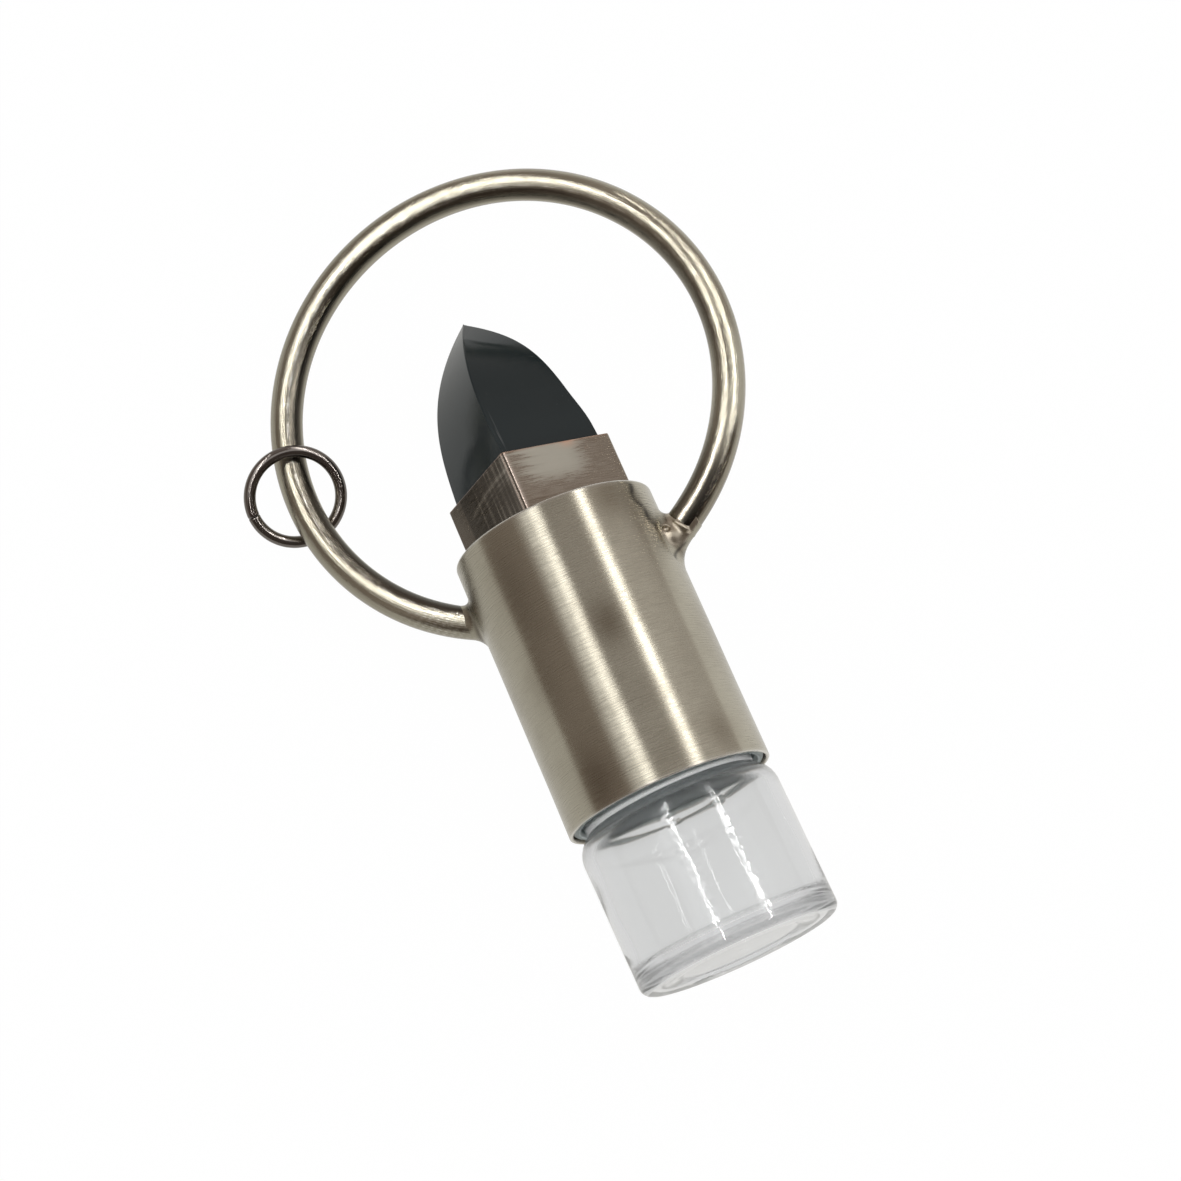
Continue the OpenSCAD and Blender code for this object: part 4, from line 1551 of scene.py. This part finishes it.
@dataclass
class Studio:
    """Pale floor, soft surroundings, two strip lights and the camera at the photograph's view."""

    eye: tuple[float, float, float] = (-0.04782, -0.07515, 0.25628)
    right: tuple[float, float, float] = (0.9191, -0.3864, 0.0772)
    up: tuple[float, float, float] = (0.3431, 0.8811, 0.3257)
    lens: float = 76.21
    strips: tuple[Strip, ...] = (
        Strip("strip_right", 34.0, 10.0, 48.0),
        Strip("strip_left", -21.0, 10.0, 40.0),
    )
    sheet_edge: float = -0.165
    # The room that gloss sees, from behind to ahead: a ramp for its start, then a ramp for each zone with
    # the Y at which it begins and the Y from which it is alone.
    start: Stops = ((0.0, 0.13), (1.0, 0.13))
    zones: tuple[tuple[Stops, float, float], ...] = (
        (((0.0, 0.3), (0.243, 0.4), (0.256, 1.2), (0.315, 1.0), (0.345, 1.9), (0.40, 1.9), (0.42, 1.0),
          (0.60, 1.0), (0.675, 3.2), (0.707, 3.2), (0.715, 1.1), (0.93, 1.0), (1.0, 0.8)), -0.42, -0.26),
        (((0.0, 0.26), (0.27, 0.31), (0.298, 1.8), (0.335, 1.5), (0.35, 4.3), (0.392, 4.3), (0.41, 0.26),
          (0.61, 0.3), (0.645, 0.7), (0.662, 7.5), (0.692, 7.5), (0.70, 0.78), (0.85, 0.66), (1.0, 0.4)),
         0.10, 0.22),
        (((0.0, 0.3), (1.0, 0.55)), 0.45, 0.62),
    )

    def floor(self) -> None:
        """Makes the floor: a wide sheet at height 0 that glows evenly. In gloss, it is a pale paper
        that darkens a little to the left and ends there in brown.
        """
        mesh = bpy.data.meshes.new("floor")
        w = 3.0
        mesh.from_pydata([(-w, -w, 0), (w, -w, 0), (w, w, 0), (-w, w, 0)], [], [(0, 1, 2, 3)])
        obj = bpy.data.objects.new("floor", mesh)
        bpy.context.scene.collection.objects.link(obj)
        material, b = new_material("pale_floor")
        path = b.put("LightPath").outputs
        matt = b.put("BsdfDiffuse", {"Color": (0.86, 0.86, 0.86)})
        seen = b.put("Emission", {"Color": (1.0, 1.0, 1.0), "Strength": 1.0})
        x = b.put("SeparateXYZ", {0: b.place()}).outputs["X"]
        sheet = b.mix(b.span(x, -0.03, 0.06), (0.72, 0.71, 0.68), (0.92, 0.91, 0.89))
        tone = b.mix(b.sum("LESS_THAN", x, self.sheet_edge), sheet, (0.24, 0.19, 0.155))
        tone = b.mix(path["Is Transmission Ray"], tone, (0.67, 0.67, 0.672))
        other = b.put("Emission", {"Color": tone, "Strength": 1.0})
        whole = b.blend(0.015, b.blend(path["Is Camera Ray"], other, seen), matt)
        b.put("OutputMaterial", {"Surface": whole.outputs[0]})
        mesh.materials.append(material)

    def surroundings(self) -> None:
        """Makes the world: white for what it lights, and for gloss a room of zones that follow on along Y.

        Each zone is a ramp over the angle from straight up towards +X, from -90 to 90 degrees.
        """
        world = bpy.data.worlds.new("studio")
        bpy.context.scene.world = world
        world.use_nodes = True
        b = Bench(world.node_tree)
        way = b.put("SeparateXYZ", {0: b.put("TexCoord").outputs["Generated"]})
        angle = b.sum("ARCTAN2", way.outputs["X"], way.outputs["Z"])
        share = b.sum("MULTIPLY_ADD", angle, 1.0 / math.pi, 0.5)
        room = self.ramp(b, share, self.start)
        for stops, low, high in self.zones:
            room = b.mix(b.span(way.outputs["Y"], low, high), room, self.ramp(b, share, stops))
        room = b.put("Background", {"Color": room, "Strength": 1.0})
        white = b.put("Background", {"Color": (1.0, 1.0, 1.0), "Strength": 1.0})
        soft = b.put("Background", {"Color": (0.83, 0.84, 0.835), "Strength": 1.0})
        path = b.put("LightPath").outputs
        mixed = b.blend(path["Is Transmission Ray"], b.blend(path["Is Glossy Ray"], white, room), soft)
        b.put("OutputWorld", {"Surface": mixed.outputs[0]})

    @staticmethod
    def ramp(b: Bench, share: bpy.types.NodeSocket, stops: Stops) -> bpy.types.NodeSocket:
        """A colour ramp of warm greys.

        Args:
            b: the world's bench.
            share: place along the ramp.
            stops: place and brightness of each stop.
        Returns:
            Its colour.
        """
        node = b.put("ValToRGB", {0: share})
        elements = node.color_ramp.elements
        for _ in stops[2:]:
            elements.new(0.5)
        for element, (place, tone) in zip(elements, stops):
            element.position = place
            warmth = 1.0 - 0.36 * max(0.0, 1.0 - tone)
            element.color = (tone, (0.4 + 0.6 * warmth) * tone, warmth * tone, 1.0)
        return node.outputs[0]

    def camera(self) -> None:
        """Places the camera from its eye point and its right and up directions."""
        data = bpy.data.cameras.new("camera")
        data.lens, data.sensor_width = self.lens, 36.0
        data.clip_start, data.clip_end = 0.01, 10.0
        right = Vector(self.right).normalized()
        back = right.cross(Vector(self.up)).normalized()
        up = back.cross(right)
        turn = Matrix((right, up, back)).transposed()
        obj = bpy.data.objects.new("camera", data)
        obj.matrix_world = Matrix.Translation(self.eye) @ turn.to_4x4()
        bpy.context.scene.collection.objects.link(obj)
        bpy.context.scene.camera = obj

    def build(self, shiny: Sequence[bpy.types.Object]) -> None:
        """Builds the floor, the surroundings, the camera and the lights.

        Args:
            shiny: the smooth pieces that the strip lights shine on.
        """
        self.floor()
        self.surroundings()
        self.camera()
        lit = bpy.data.collections.new("shiny_pieces")
        for piece in shiny:
            lit.objects.link(piece)
        for strip in self.strips:
            strip.build(lit)
        paths = bpy.context.scene.cycles
        paths.max_bounces, paths.transmission_bounces, paths.glossy_bounces = 32, 32, 16
        settings = bpy.context.scene.view_settings
        settings.view_transform, settings.look = "Standard", "None"


def main() -> None:
    """Builds every piece in order, then the studio."""
    logging.basicConfig(level=logging.INFO, format="%(message)s")
    groups = EffectGroups()
    brushed = BrushedMetal("brushed_gunmetal", (0.44, 0.41, 0.335), (0.35, 0.315, 0.25), rough_low=0.2,
                           rough_high=0.3, drawn=1.0, mark_length=2.4, mark_width=0.13,
                           bump=0.19).material(groups)
    wire = BrushedMetal("polished_wire", (0.37, 0.345, 0.275), (0.27, 0.245, 0.195), rough_low=0.1,
                        rough_high=0.18, drawn=0.0, mark_length=7.0, mark_width=0.13, bump=0.5,
                        speck_share=0.1).material(groups)
    sheet = BrushedMetal("scratched_sheet", (0.42, 0.375, 0.32), (0.30, 0.26, 0.22), rough_low=0.2,
                         rough_high=0.32, drawn=0.7, mark_length=2.2, mark_width=0.12).material(groups)
    solder = BrushedMetal("solder_metal", (0.46, 0.41, 0.34), (0.40, 0.34, 0.27), warm=(0.52, 0.46, 0.36),
                          rough_low=0.26, rough_high=0.36, drawn=0.0, bump=0.1).material(groups)
    dark = BrushedMetal("dark_wire", (0.20, 0.18, 0.165), (0.13, 0.115, 0.105), rough_low=0.1,
                        rough_high=0.22, drawn=0.3, mark_length=4.0, mark_width=0.1, bump=0.1,
                        speck_share=0.0).material(groups)
    alloy = BrushedMetal("satin_alloy", (0.56, 0.61, 0.60), (0.50, 0.55, 0.54), rough_low=0.45,
                         rough_high=0.58, drawn=0.0, bump=0.05, speck_share=0.0,
                         tarnish_and_shade_tone=(0.42, 0.44, 0.44), wear_and_painted_light_tone=(0.82, 0.87, 0.89)).material(groups)
    CapTube().dressed(brushed)
    Bezel().dressed(sheet)
    ring = BigRing().dressed(wire)
    right = SolderJoint("solder_right", 1, 2.3, 2.0, 1.55, 6.5, (Lump(10.88, -6.36, 1.45, 1.02, 0.4),),
                        Lump(11.2, -5.8, 2.33, 0.42, 0.1), 0.17, 0.2)
    left = SolderJoint("solder_left", -1, 1.5, 1.7, 1.72, 4.5)
    for joint in (right, left):
        joint.dressed(brushed, wire, solder)
    StonePoint().dressed(VolcanicGlass().material(groups))
    InnerCap().dressed(alloy)
    vial = Vial().dressed(ClearGlass().material())
    split = JumpRing().dressed(dark)
    Studio().build([vial, ring, split])


if __name__ == "__main__":
    main()
